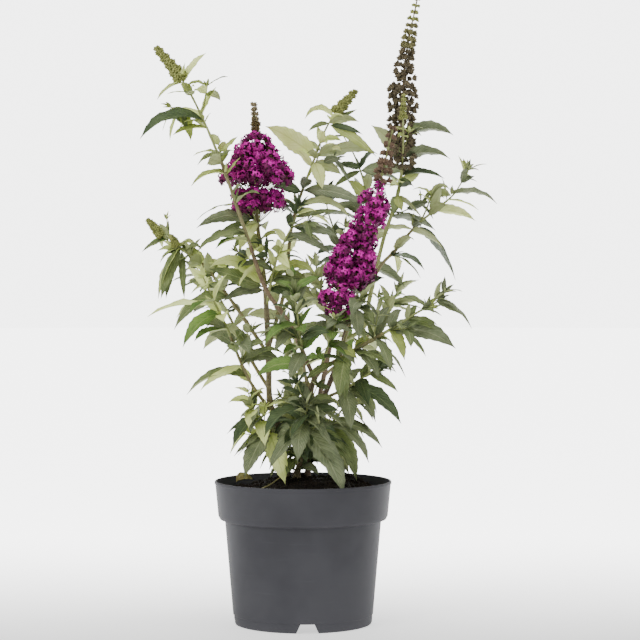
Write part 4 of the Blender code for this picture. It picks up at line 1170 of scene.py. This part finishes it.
# %% Leaves and twigs that stand free
# Leaves: root and tip in mm, sag in mm, width for its length, green.
# Twigs: share of the stem, compass and rise in degrees, length and length of leaf in mm, greens.
HAND_SET = {
    "foliage_top_centre": (
        ((14, 79, 602), (25, 60, 565), 2, 0.42, "pale"), ((-1, 70, 564), (82, 40, 543), 30, 0.2, "dull"),
        ((-3, 70, 562), (-41, 45, 566), 14, 0.34, "dark"), ((34, 85, 654), (6, 70, 642), 14, 0.24, "green"),
        ((35, 85, 652), (97, 60, 608), 16, 0.17, "lime"), ((36, 85, 652), (79, 70, 638), 8, 0.2, "dark"),
        ((39, 85, 660), (72, 88, 673), 2, 0.2, "mid"), ((-13, 61, 528), (51, 35, 536), 12, 0.14, "green"),
    ),
    "foliage_back_top": (
        ((77, 115, 597), (51, 100, 599), 5, 0.36, "dark"),
        ((77, 115, 592), (145, 85, 589), 14, 0.28, "dull"),
        ((77, 115, 592), (39, 90, 567), 16, 0.18, "green"),
        ((84, 109, 556), (59, 95, 579), 3, 0.52, "lime"), ((84, 106, 551), (61, 85, 556), 3, 0.36, "dark"),
    ),
    "spent_spike": (
        ((129, 34, 606), (89, 30, 648), 5, 0.42, "under"),
        ((123, 35, 556), (116, -10, 531), 3, 0.24, "mid"),
        ((124, 35, 556), (128, -6, 534), 3, 0.24, "lime"),
    ),
    "bloom_centre": (
        ((-60, 6, 526), (-137, -30, 512), 30, 0.24, "dull"),
        ((-60, 6, 520), (-112, -10, 502), 14, 0.13, "green"),
        ((-61, 4, 524), (-83, -30, 483), 4, 0.32, "pale"), ((-61, 4, 523), (-90, -14, 484), 3, 0.24, "mid"),
        ((-50, 3, 438), (-120, -30, 461), 58, 0.19, "pale"),
        ((-49, 3, 438), (19, -35, 449), 58, 0.16, "lime"), ((-49, 3, 443), (5, -25, 444), 24, 0.13, "mid"),
        ((-51, 3, 436), (-104, -15, 436), 16, 0.13, "dark"),
        ((-51, 3, 432), (-104, -25, 417), 14, 0.24, "dull"),
        ((-48, 3, 435), (8, -30, 407), 24, 0.27, "dark"),
        ((-54, 3, 438), (-121, -40, 460), 8, 0.26, "green"),
    ),
    "foliage_left": (
        ((-163, 14, 487), (-176, -25, 421), 8, 0.22, "mid"),
        ((-160, 14, 486), (-182, -35, 421), 10, 0.2, "green"),
        ((-158, 13, 484), (-153, -15, 420), 4, 0.16, "mid"),
        ((-154, 12, 482), (-131, 0, 484), 28, 0.2, "mid"),
    ),
    "foliage_centre_front": (
        ((-18, -40, 506), (38, -60, 476), 20, 0.17, "grey"),
        ((-14, -43, 514), (47, -65, 499), 16, 0.2, "dull"),
    ),
}
SPRIGS = {
    "foliage_top_left": ((0.61, 170, 22, 46, 30, "lime mid pale"), (0.63, 30, 78, 40, 34, "lime mid")),
    "foliage_left": ((0.40, 150, 40, 40, 34, "mid lime"), (0.22, 60, 60, 34, 30, "lime mid")),
    "foliage_right": ((0.50, 20, 66, 40, 34, "lime mid"),),
    "spent_spike": ((0.40, -60, 62, 34, 28, "lime mid"),),
    "foliage_top_centre": ((0.50, 20, 62, 44, 36, "mid lime"),),
}
HAND_FOLD = 0.25
TO_VIEWER = np.array((0.1, -1.0, 0.45))
SPRIG_RADII = (0.0013, 0.0008)
SPRIG_SLIM = 0.4
SPRIG_TUFT = 0.016
TUFT_SLIM = 0.31
TUFT_FOLDS = (0.2, 0.5)


def tuft(pile, foot, up, out, size, finishes, chance, leaves=4):
    """Small young leaves that stand close together in an axil or at a tip."""
    side = unit(np.cross(up, out))
    for i in range(leaves):
        spread = math.radians(chance.uniform(10, 34) + 9 * (i // 2))
        swing = 90 * (i // 2) + 180 * (i % 2) + chance.uniform(-15, 15)
        lean = turn(side, up, math.radians(swing))
        ahead = unit(up * math.cos(spread) + lean * math.sin(spread))
        length = size * chance.uniform(0.7, 1.1) * (0.72 if i > 1 else 1)
        leaf = Leaf(foot, ahead, length, length * chance.uniform(0.02, 0.3), chance.uniform(-0.4, 0.4))
        lay_leaf(pile, leaf, finishes, chance, TUFT_SLIM, chance.uniform(*TUFT_FOLDS))


def sprig(leaves, twigs, stem, share, degrees, rise, long, leaf, tones, chance):
    """A bare side twig with a pair of leaves and a tuft at its end."""
    foot = stem.heart(share)
    end = foot + compass(degrees, rise) * long / 1000
    course = Course((foot, (foot + end) / 2 - UP * 0.002, end))
    twig = Stem(course, 0, course.length, *SPRIG_RADII)
    lay_tube(twigs, course, 0, course.length, twig.radius, "stem_green", 0.008, 6)
    up = course.heading(course.length)
    side = unit(np.cross(up, (0.1, 0.9, 0.2)))
    tones = [TONES[tone] for tone in tones.split()]
    for number in range(4):
        pair, hand = divmod(number, 2)
        out = turn(side, UP, math.radians(180 * hand + 55 * pair + chance.uniform(-20, 20)))
        ahead = unit(out + UP * chance.uniform(0.0, 0.7))
        size = leaf / 1000 * chance.uniform(0.8, 1.1)
        place = course.at(course.length * (0.97 - 0.25 * pair))
        grown_leaf = Leaf(place, ahead, size, size * chance.uniform(0.25, 0.6), chance.uniform(-0.5, 0.5))
        lay_leaf(leaves, grown_leaf, tones[number % len(tones)], chance, SPRIG_SLIM)
    tuft(leaves, end - up * 0.001, up, side, SPRIG_TUFT, tones[0], chance)


def hand_set(leaves, shoot, chance):
    """The shoot's leaves that have their own places."""
    for root, tip, sag, slim, tone in HAND_SET.get(shoot.mass, ()):
        root, tip, sag = np.array(root) / 1000, np.array(tip) / 1000, sag / 1000
        reach = tip - root + UP * sag
        length = np.linalg.norm(reach)
        leaf = Leaf(root, reach / length, length, sag, 0.0)
        lay_leaf(leaves, leaf, TONES[tone], chance, slim, HAND_FOLD, TO_VIEWER)


# %% Finer growth on a shoot
BROAD = {"foliage_top_left": 0.42, "foliage_left": 0.40, "foliage_left_front": 0.38,
         "foliage_foot_front": 0.38, "foliage_top_centre": 0.36, "foliage_foot_left": 0.36}
CUT_SHORT = {"foliage_front_right": 0.46, "foliage_back": 0.8, "foliage_low_right": 0.85}
SPARSE = ("foliage_low_right", "foliage_front_right", "foliage_foot_right", "foliage_back")
TUFT_CHANCE = 0.32
PAIR_SKIPPED = 0.45
WITHIN_REACH = 0.015
LOW_LEAVES = 14
LOW_FIRST = 0.008
LOW_GAP = 0.0045
LOW_LENGTH = (0.032, 0.062)
LOW_SPREAD = 0.088
SOIL_CLEAR = 0.002
AXIL_TUFT = (0.015, 0.030)
TWIG_TUFT = 0.017
END_TUFT = 0.030
TWIG_SLIM = 0.62
UPPER_PART = 0.45


def between_pairs(leaves, shoot, stem, solid, chance):
    """Half-grown pairs between the grown ones, kept within reach of the solid."""
    low = FIRST_PAIR * 0.4
    top = min(top_share(shoot), CUT_SHORT.get(shoot.mass, 1))
    full = not shoot.limb or shoot.mass == "foliage_front"
    for pair in range(shoot.pairs + 1):
        if not full and chance.random() < PAIR_SKIPPED:
            continue
        share = low + (top - low) * (pair / (shoot.pairs + 0.4)) ** CROWDING
        side = side_of(stem, share, shoot.turn + 45 + 90 * pair + chance.uniform(-25, 25))
        for hand in (1, -1):
            length = shoot.leaf * chance.uniform(0.55, 0.98) * (1.1 - 0.45 * share) / 1000
            rise = LEAF_RISE[0] + LEAF_RISE[1] * share + chance.uniform(-12, 22)
            sag = length * chance.uniform(0.12, 0.55)
            if not shoot.limb:
                rise -= FOOT_DROOP * 0.6
            roll = chance.uniform(-0.6, 0.6)
            leaf = leaf_on(stem, share, side * hand, math.radians(rise), length, sag, roll)
            for found in standing(leaf, solid, (0.5, 1.0), WITHIN_REACH):
                lay_leaf(leaves, found, tone_of(shoot, 50 + pair), chance, BROAD.get(shoot.mass, LEAF_SLIM))


def low_leaves(leaves, shoot, chance):
    """Leaves that droop over the compost from the foot of the cane beside a low shoot."""
    course = LIMBS["cane_" + shoot.mass.split("_")[-1]].course
    for number in range(LOW_LEAVES):
        way = LOW_FIRST + LOW_GAP * number
        heading = course.heading(way)
        side = unit(np.cross(heading, (0.2, 0.1, 0.97)))
        out = turn(side, heading, 2.4 * number + chance.uniform(-0.4, 0.4))
        length = chance.uniform(*LOW_LENGTH)
        ahead = unit(out * (1, 1, 0) + UP * chance.uniform(0.1, 0.9))
        root = course.at(way)
        drop = root[2] + ahead[2] * length - SOIL_TOP - SOIL_CLEAR
        sag = min(length * chance.uniform(0.4, 0.9), drop)
        leaf = Leaf(root, ahead, length, sag, chance.uniform(-0.6, 0.6))
        tip = spine(leaf, 1.0)
        if drop > 0.004 and math.hypot(tip[0], tip[1]) < LOW_SPREAD:
            lay_leaf(leaves, leaf, tone_of(shoot, 80 + number), chance)


def dress(shoot):
    """The leaves and the stems of one shoot, as two piles."""
    stem = MASSES[shoot.mass]
    solid, found, side_twigs = grown(shoot)
    chance = random.Random(shoot.mass + " finer")
    topmost = CUT_SHORT.get(shoot.mass, 1)
    ceiling = stem.heart(topmost)[2] + 0.004 if topmost < 1 else math.inf
    leaves = Pile()
    twigs = Pile()
    for leaf, spray in found:
        if leaf.root[2] >= ceiling:
            continue
        finishes = tone_of(shoot, spray)
        lay_leaf(leaves, leaf, finishes, chance, BROAD.get(shoot.mass, LEAF_SLIM))
        if not leaf.small and chance.random() < TUFT_CHANCE:
            ahead = unit(stem.course.heading(stem.course.length * 0.8) + leaf.ahead * 0.7)
            tuft(leaves, leaf.root + ahead * 0.002, ahead, leaf.ahead, chance.uniform(*AXIL_TUFT),
                 finishes, chance)
    for twig, spray in side_twigs:
        course = twig.course
        if course.points[0][2] >= ceiling:
            continue
        lay_tube(twigs, course, 0, twig.end, lambda way, angle: twig.radius(way) * TWIG_SLIM, "stem_green",
                 0.012, 5)
        up = course.heading(twig.end)
        tuft(leaves, course.at(twig.end) - up * 0.001, up, np.cross(up, UP) + 0.01, TWIG_TUFT,
             tone_of(shoot, spray), chance)
    if shoot.mass not in SPARSE:
        between_pairs(leaves, shoot, stem, solid, chance)
    hand_set(leaves, shoot, chance)
    if not shoot.limb:
        low_leaves(leaves, shoot, chance)
    for place in SPRIGS.get(shoot.mass, ()):
        sprig(leaves, twigs, stem, *place, chance)
    if shoot.heads:
        end = stem.way(shoot.heads[-1].end)
    else:
        end = stem.way(topmost)
        up = stem.course.heading(end - 0.004)
        tip = stem.course.at(end) - up * 0.002
        tuft(leaves, tip, up, np.cross(up, UP), END_TUFT, tone_of(shoot, 99), chance, 6)
    slimmest, upper = (0.0011, "stem_purple") if shoot.mass == "spent_spike" else (0.0007, "stem_green")
    lower = "stem_green" if LIMB_FINISHES.get(shoot.limb) == "stem_green" else "stem_brown"

    def taper(way, angle):
        node = np.exp(-((((way / NODE_SPACING) % 1 - 0.5) / 0.07) ** 2))
        return np.maximum(stem.radius(way), slimmest) * (0.92 + 0.22 * node)

    split = stem.start + (end - stem.start) * UPPER_PART
    lay_tube(twigs, stem.course, stem.start - 0.001, split, taper, lower, 0.004, 9)
    lay_tube(twigs, stem.course, split - 0.001, end, taper, upper, 0.004, 8)
    return leaves, twigs


def short_name(shoot):
    return shoot.mass.replace("foliage_", "")


for shoot in SHOOTS:
    leaves, twigs = dress(shoot)
    leaf_piece = leaves.make(f"leaves_{short_name(shoot)}")
    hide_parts(shoot.mass)
    stem_piece = twigs.make(f"stems_{short_name(shoot)}")
    print(f"{shoot.mass}: {len(leaves.parts)} leaves, {len(leaf_piece.data.polygons)} faces")

# %% What has fallen on the compost
FALLEN_LEAF = Leaf(np.array((-0.088, 0.020, 0.181)), unit(np.array((1.0, 0.25, 0.42))), 0.025, 0.007, 1.2)
FALLEN_TWIG = ((-0.056, -0.060, 0.1785), (-0.040, -0.044, 0.1850), (-0.021, -0.026, 0.1980))
litter = Pile()
lay_leaf(litter, FALLEN_LEAF, ("dry_leaf", "dry_leaf"), random.Random("fallen"), slim=0.62, fold=1.0)
litter.make("fallen_leaf")
litter = Pile()
course = Course(FALLEN_TWIG)
lay_tube(litter, course, 0, course.length, lambda way, angle: 0.0012 - 0.010 * way, "stem_brown", 0.006, 7)
litter.make("fallen_twig")
print("on the compost: a dry leaf and a twig")

# %% [markdown]
# ## Flowers
# One flower is a slender tube that opens into four lobes. It is turned like a small trumpet: an outline spun
# round its middle in twelve steps, and then every third corner of the rim is pulled in, which leaves four
# lobes. About a dozen of them and a few buds make a cyme, a small dome on a stalk of its own, and a flower
# head is ring upon ring of cymes. Flowers that face up take the brightest tone, a painted highlight, and
# those that face down or sit in inner cymes take the deepest, a painted shade; age and chance shift the tone
# too.

# %% One flower
TUBE_LONG = 7.4
LOBE_REACH = 4.3
RIM_CORNERS = ((0.42, -0.2), (1.0, -0.25), (0.96, 0.25))


def flower_pattern():
    """A flower in mm: its foot at the origin and its mouth towards +Z, with tube, lobes and throat."""
    bm = turned([(0, 0), (0.9, TUBE_LONG - 0.6), (LOBE_REACH, TUBE_LONG + 0.3), (0.7, TUBE_LONG)], 12)
    for vert in bm.verts:
        if math.hypot(vert.co.x, vert.co.y) > 2:
            pull, lift = RIM_CORNERS[round(math.atan2(vert.co.y, vert.co.x) / math.tau * 12) % 3]
            vert.co = (vert.co.x * pull, vert.co.y * pull, vert.co.z + lift)
    bmesh.ops.recalc_face_normals(bm, faces=bm.faces)
    for face in bm.faces:
        middle = face.calc_center_median()
        wide = math.hypot(middle.x, middle.y)
        face.material_index = 0 if wide > 0.8 else 1 if middle.z < TUBE_LONG - 0.4 else 2
    return Pattern(bm)


bm = ball(1, 1)
bmesh.ops.scale(bm, verts=bm.verts, vec=(1, 1, 1.5))
BUD = Pattern(bm)
FLOWER = flower_pattern()
CUP = tube_pattern(1, 5)
print("flower:", len(FLOWER.sides), "faces, bud:", len(BUD.sides))

# %% Setting small things down
def stand(pile, pattern, foot, ahead, size, finishes, spin=0.0):
    """Sets a pattern down with its foot at a point and its +Z ahead. `size` is one number or three."""
    side = turn(unit(np.cross(ahead, (0.36, 0.48, 0.8))), ahead, spin)
    x, y, z = (pattern.corners * size).T
    corners = foot + np.outer(x, side) + np.outer(y, np.cross(ahead, side)) + np.outer(z, ahead)
    pile.add(pattern, corners, finishes)


def lay_stalk(pile, start, end, radius, finish):
    """A straight short stalk between two points."""
    ahead = end - start
    long = np.linalg.norm(ahead)
    if long > 0.0008:
        stand(pile, tube_pattern(1, 4), start, ahead / long, (radius, radius, long), (finish,))


def dome(count, out, spread, chance):
    """Directions spread evenly over a cap of a ball that is centred on `out`."""
    side = unit(np.cross(out, (0.31, 0.12, 0.94)))
    other = np.cross(out, side)
    start = chance.uniform(0, math.tau)
    for number in range(count):
        height = 1 - (1 - math.cos(spread)) * (number + 0.5) / count
        flat = math.sqrt(1 - height**2)
        angle = start + number * math.pi * (3 - math.sqrt(5))
        yield unit(out * height + side * flat * math.cos(angle) + other * flat * math.sin(angle))


# %% Cymes and open heads
CYME_GAP = 0.0115
CYME_WIDE = 0.0175
CYME_REACH = (0.0065, 0.0108)
CYME_FLOWERS = (12, 16)
CYME_SPREAD = 1.5
BUD_CHANCE = 0.14
CUP_SIZE = (0.0010, 0.0010, 0.0034)
BUD_SIZE = (0.0010, 0.0010, 0.0022)
HEAD_MARGIN = 0.006
INNER_FROM = 0.012


def cyme(flowers, stalks, foot, middle, out, reach, age, chance):
    """A dome of flowers and buds round `middle`, on a stalk from `foot`."""
    lay_stalk(stalks, foot, middle, 0.0006, "stem_green")
    for ahead in dome(chance.randint(*CYME_FLOWERS), out, CYME_SPREAD, chance):
        ahead = unit(ahead + np.array([chance.gauss(0, 1) for _ in range(3)]) * 0.13)
        size = reach / (TUBE_LONG + 1.2) * chance.uniform(0.80, 1.08)
        root = middle + ahead * reach * chance.uniform(0.04, 0.22)
        stand(stalks, CUP, root - ahead * 0.0006, ahead, CUP_SIZE, ("cup",))
        if chance.random() < BUD_CHANCE:
            stand(stalks, BUD, root + ahead * reach * 0.5, ahead, BUD_SIZE, ("floret_tube",))
            continue
        # Painted light: facing up gives the bright petal as a highlight, facing down the deep petal as shade;
        # age and chance shift it
        fresh_and_lit = age + 0.9 * ahead[2] + chance.uniform(-0.6, 0.5)
        petal = "petal_deep" if fresh_and_lit < -0.15 else "petal_mid" if fresh_and_lit < 0.55 else "petal_bright"
        # The third slot, the throat, carries painted shade
        stand(flowers, FLOWER, root, ahead, size, (petal, "floret_tube", "throat"), chance.uniform(0, 1.6))


def open_head(flowers, stalks, stem, head, lean, chance):
    """Rings of cymes that fill the head's outline. Its foot may lean out to one side."""
    start, end = stem.way(head.start) + HEAD_MARGIN, stem.way(head.end) - HEAD_MARGIN
    rings = max(1, round((end - start) / CYME_GAP))
    for ring in range(rings + 1):
        share = ring / rings
        way = start + (end - start) * share
        wide = np.interp(share, np.linspace(0, 1, len(head.radii)), head.radii) / 1000
        reach = min(CYME_REACH[1], max(CYME_REACH[0], wide * 0.5))
        heart, up = stem.course.at(way) + lean * (1 - share), stem.course.heading(way)
        place = max(wide - reach * 0.9, 0)
        count = max(1, round(math.tau * place / CYME_WIDE))
        lump = chance.uniform(0.88, 1.06)
        side = square(side_of(stem, 0.5, ring * 41), up)
        for number in range(count):
            out = turn(side, up, math.tau * number / count + chance.uniform(-0.2, 0.2))
            ahead = unit(out + up * (0.25 + 0.85 * share + chance.uniform(-0.2, 0.2)))
            middle = heart + out * place * lump * chance.uniform(0.80, 1.06)
            middle += up * chance.uniform(-0.003, 0.002)
            foot = heart - up * (0.004 + place * 0.7)
            size = reach * chance.uniform(0.80, 1.08)
            cyme(flowers, stalks, foot, middle, ahead, size, chance.uniform(-0.15, 0.3), chance)
            if place > INNER_FROM and number % 2:
                inner = middle - out * place * 0.55 - up * 0.002
                # Inner cymes take deep petals: painted shade inside the head
                cyme(flowers, stalks, foot, inner, ahead, size * 0.9, -0.7, chance)


# %% Spikes of buds and of seed cases
CASE_LONG = 0.0074
FORKS_ABOVE = 18
DARK_ABOVE = 0.0125
BROWN_ABOVE = 0.0085
INNER_ABOVE = 0.011


def whorls(stem, spike, first, wobble, chance):
    """For each whorl of a spike: how far up it is, its reach and middle, and the way up and aside."""
    for whorl in range(spike.whorls + 1):
        part = whorl / spike.whorls
        way = stem.way(spike.start + (spike.end - spike.start) * part)
        reach = (spike.foot + (spike.tip - spike.foot) * part) / 1000
        up = stem.course.heading(way)
        side = side_of(stem, 0.9, first + 90 * whorl + chance.uniform(-wobble, wobble))
        yield part, reach, stem.course.at(way), up, square(side, up)


def bud_spike(pile, stem, spike, finishes, chance):
    """Opposite clusters of closed buds, each pair a quarter turned, smaller and smaller to the tip."""
    for part, reach, heart, up, side in whorls(stem, spike, 20, 15, chance):
        finish = finishes[min(len(finishes) - 1, int(part * len(finishes)))]
        for quarter in range(4):
            out = turn(side, up, math.radians(90 * quarter + chance.uniform(-12, 12)))
            far = reach * (0.78 if quarter % 2 else 1.0) * chance.uniform(0.95, 1.08)
            ahead = unit(out + up * chance.uniform(0.25, 0.6))
            cluster = far * 0.42
            middle = heart + ahead * (far - cluster * 1.2)
            lay_stalk(pile, heart, middle, 0.0005, "stem_green")
            for spot in dome(max(5, round(far * 1800)), ahead, 2.2, chance):
                size = max(0.0011, cluster * 0.52) * chance.uniform(0.85, 1.2)
                stand(pile, BUD, middle + spot * cluster, unit(spot + ahead * 0.5), size, (finish,))


def fork(pile, foot, ahead, long, case, level, finish, chance):
    """A stalk that forks `level` times and ends in fans of split seed cases, each like a small cup."""
    end = foot + ahead * long
    lay_stalk(pile, foot, end, 0.0006 + 0.0003 * level, finish)
    if level == 0:
        for spot in dome(chance.randint(8, 11), ahead, 0.95, chance):
            size = case * chance.uniform(0.8, 1.1)
            sizes = (size * 0.24, size * 0.24, size * 0.36)
            stand(pile, BUD, end + spot * size * 0.5, spot, sizes, (finish,))
        return
    side = turn(unit(np.cross(ahead, UP) + 0.01), ahead, chance.uniform(-0.7, 0.7))
    for hand in (1, -1):
        branch = unit(ahead + side * hand * chance.uniform(0.6, 1.0) + UP * 0.15)
        fork(pile, end, branch, long * chance.uniform(0.5, 0.8), case, level - 1, finish, chance)


def spent_head(pile, stem, spike, only, chance):
    """Whorls of stalks with their seed cases, in one finish only or dark below and olive at the tip."""
    forked = spike.foot > FORKS_ABOVE
    for _, reach, heart, up, side in whorls(stem, spike, 25, 20, chance):
        case = min(CASE_LONG, reach * 0.66)
        long = max(0.001, reach / 0.86 - case) / (1.6 if forked else 1)
        finish = "case_dark" if reach > DARK_ABOVE else "case_brown" if reach > BROWN_ABOVE else "bud_green"
        finish = only or finish
        arms = 4 if forked or reach < DARK_ABOVE else 3
        for arm in range(arms):
            out = turn(side, up, math.tau * arm / arms + chance.uniform(-0.2, 0.2))
            ahead = unit(out + up * chance.uniform(0.45, 0.8))
            fork(pile, heart, ahead, long * chance.uniform(0.85, 1.05), case, int(forked), finish, chance)
            if reach > INNER_ABOVE:
                inner = unit(turn(out, up, 0.8) + up * chance.uniform(0.2, 0.8))
                fork(pile, heart, inner, reach * chance.uniform(0.3, 0.5), case * 0.9, 0, finish, chance)


# %% Dressing the heads
SPENT = {"spent_spike": None, "bloom_right": "case_mauve"}
LEANS = {"bloom_right": -0.007}
SIDE_SPIKES = {
    "spent_spike": (((130, 34, 598), (130, 0, 625), (129, -12, 655), (130, -14, 684)),
                    Spike(0.72, 0.99, 5, 6, 2.5)),
    "foliage_left": (((-160, 13, 484), (-168, 6, 494), (-171, 2, 502)), Spike(0.40, 0.99, 4, 6, 3)),
}
for shoot in SHOOTS:
    if not shoot.heads:
        continue
    stem = MASSES[shoot.mass]
    chance = random.Random(shoot.mass + " heads")
    flowers, stalks = Pile(), Pile()
    for head in shoot.heads:
        if isinstance(head, Head):
            lean = np.array((LEANS.get(shoot.mass, 0.0), 0, 0))
            open_head(flowers, stalks, stem, head, lean, chance)
        elif shoot.mass in SPENT:
            spent_head(stalks, stem, head, SPENT[shoot.mass], chance)
        else:
            finishes = ("cup", "bud_brown") if flowers.parts else ("bud_green",)
            bud_spike(stalks, stem, head, finishes, chance)
    if shoot.mass in SIDE_SPIKES:
        line, spike = SIDE_SPIKES[shoot.mass]
        course = Course(np.array(line) / 1000)
        twig = Stem(course, 0, course.length, 0.0012, 0.0008)
        lay_tube(stalks, course, 0, course.length, twig.radius, "stem_green", 0.006, 6)
        bud_spike(stalks, twig, spike, ("bud_green",), chance)
    if flowers.parts:
        piece = flowers.make(f"flowers_{short_name(shoot)}")
        print(f"{piece.name}: {len(flowers.parts)} flowers, {len(piece.data.polygons)} faces")
    piece = stalks.make(f"{'cups' if flowers.parts else 'heads'}_{short_name(shoot)}")
    "spent_flower" if shoot.mass == "spent_spike" else "leaf"
    print(f"{piece.name}: {len(piece.data.polygons)} faces")

# %% [markdown]
# ## Camera, floor and light
# The picture is taken from a little above the middle of the plant with a long lens, so the rim of the pot is
# a thin ellipse. Three big soft lights and a white surround leave almost no shadow, as in a catalogue
# picture. The floor is plain and isn't part of the plant.

# %% The camera
CAMERA_PLACE = (0.022, -2.8, 0.461)
CAMERA_TILT = 1.38
CAMERA_LENS = 121.4

camera = linked("camera", bpy.data.cameras.new("camera"))
camera.data.lens = CAMERA_LENS
camera.data.sensor_width = 36
camera.location = CAMERA_PLACE
camera.rotation_euler = (math.radians(90 - CAMERA_TILT), 0, 0)
bpy.context.scene.camera = camera

# %% The floor, lit up behind the plant
BACKDROP = 4.8
FLOOR_GREY = (0.86, 0.86, 0.86)
FLOOR_GLOW = (0.10, 0.10, 0.10)
WHITE = (1, 1, 1)

bm = bmesh.new()
bmesh.ops.create_circle(bm, cap_ends=True, segments=96, radius=14)
bmesh.ops.translate(bm, verts=bm.verts, vec=(0, 0, -0.0004))
floor = linked("floor", mesh_from("floor", bm))
finish = Finish("floor_white", Roughness=0.9, Emission_Strength=BACKDROP, Base_Color=FLOOR_GREY)
lit = finish.between(-0.35, 0.95, finish.part(finish.place, "Y"))
finish.set(Emission_Color=finish.blend(FLOOR_GLOW, WHITE, lit))
floor.data.materials.append(finish.owner)

# %% The surround, bright behind the plant and soft elsewhere
surround = Graph(bpy.data.worlds.new("surround"), "Background", "Generated")
overhead = surround.between(0.12, 0.5, surround.part(surround.place, "Z"), 0.95, 0.30)
behind = surround.between(0.86, 0.96, surround.part(surround.place, "Y"), overhead, BACKDROP)
surround.set(Color=WHITE, Strength=behind)
bpy.context.scene.world = surround.owner

# %% Three soft lights
LIGHTS = (
    ("window_left", (-1.5, -1.9, 1.7), 1.0, 34),
    ("window_right", (1.9, -1.5, 1.1), 1.4, 7),
    ("ceiling", (0.1, -0.3, 2.4), 1.2, 28),
)
for name, place, size, power in LIGHTS:
    light = linked(name, bpy.data.lights.new(name, "AREA"))
    light.data.size = size
    light.data.energy = power
    light.location = place
    light.rotation_euler = (Vector((0, 0, 0.4)) - Vector(place)).to_track_quat("-Z", "Y").to_euler()
print("camera and", len(LIGHTS), "lights")

# %% [markdown]
# ## The plain solids
# The dressed plant has to stay inside the box of the solids. Every solid has its dressed piece by now, and
# the plain solids take a plain finish.

# %% Finish the plain solids
for node in nodes.values():
    if not node.data.materials:
        node.data.materials.append(FINISHES["stem_green"])
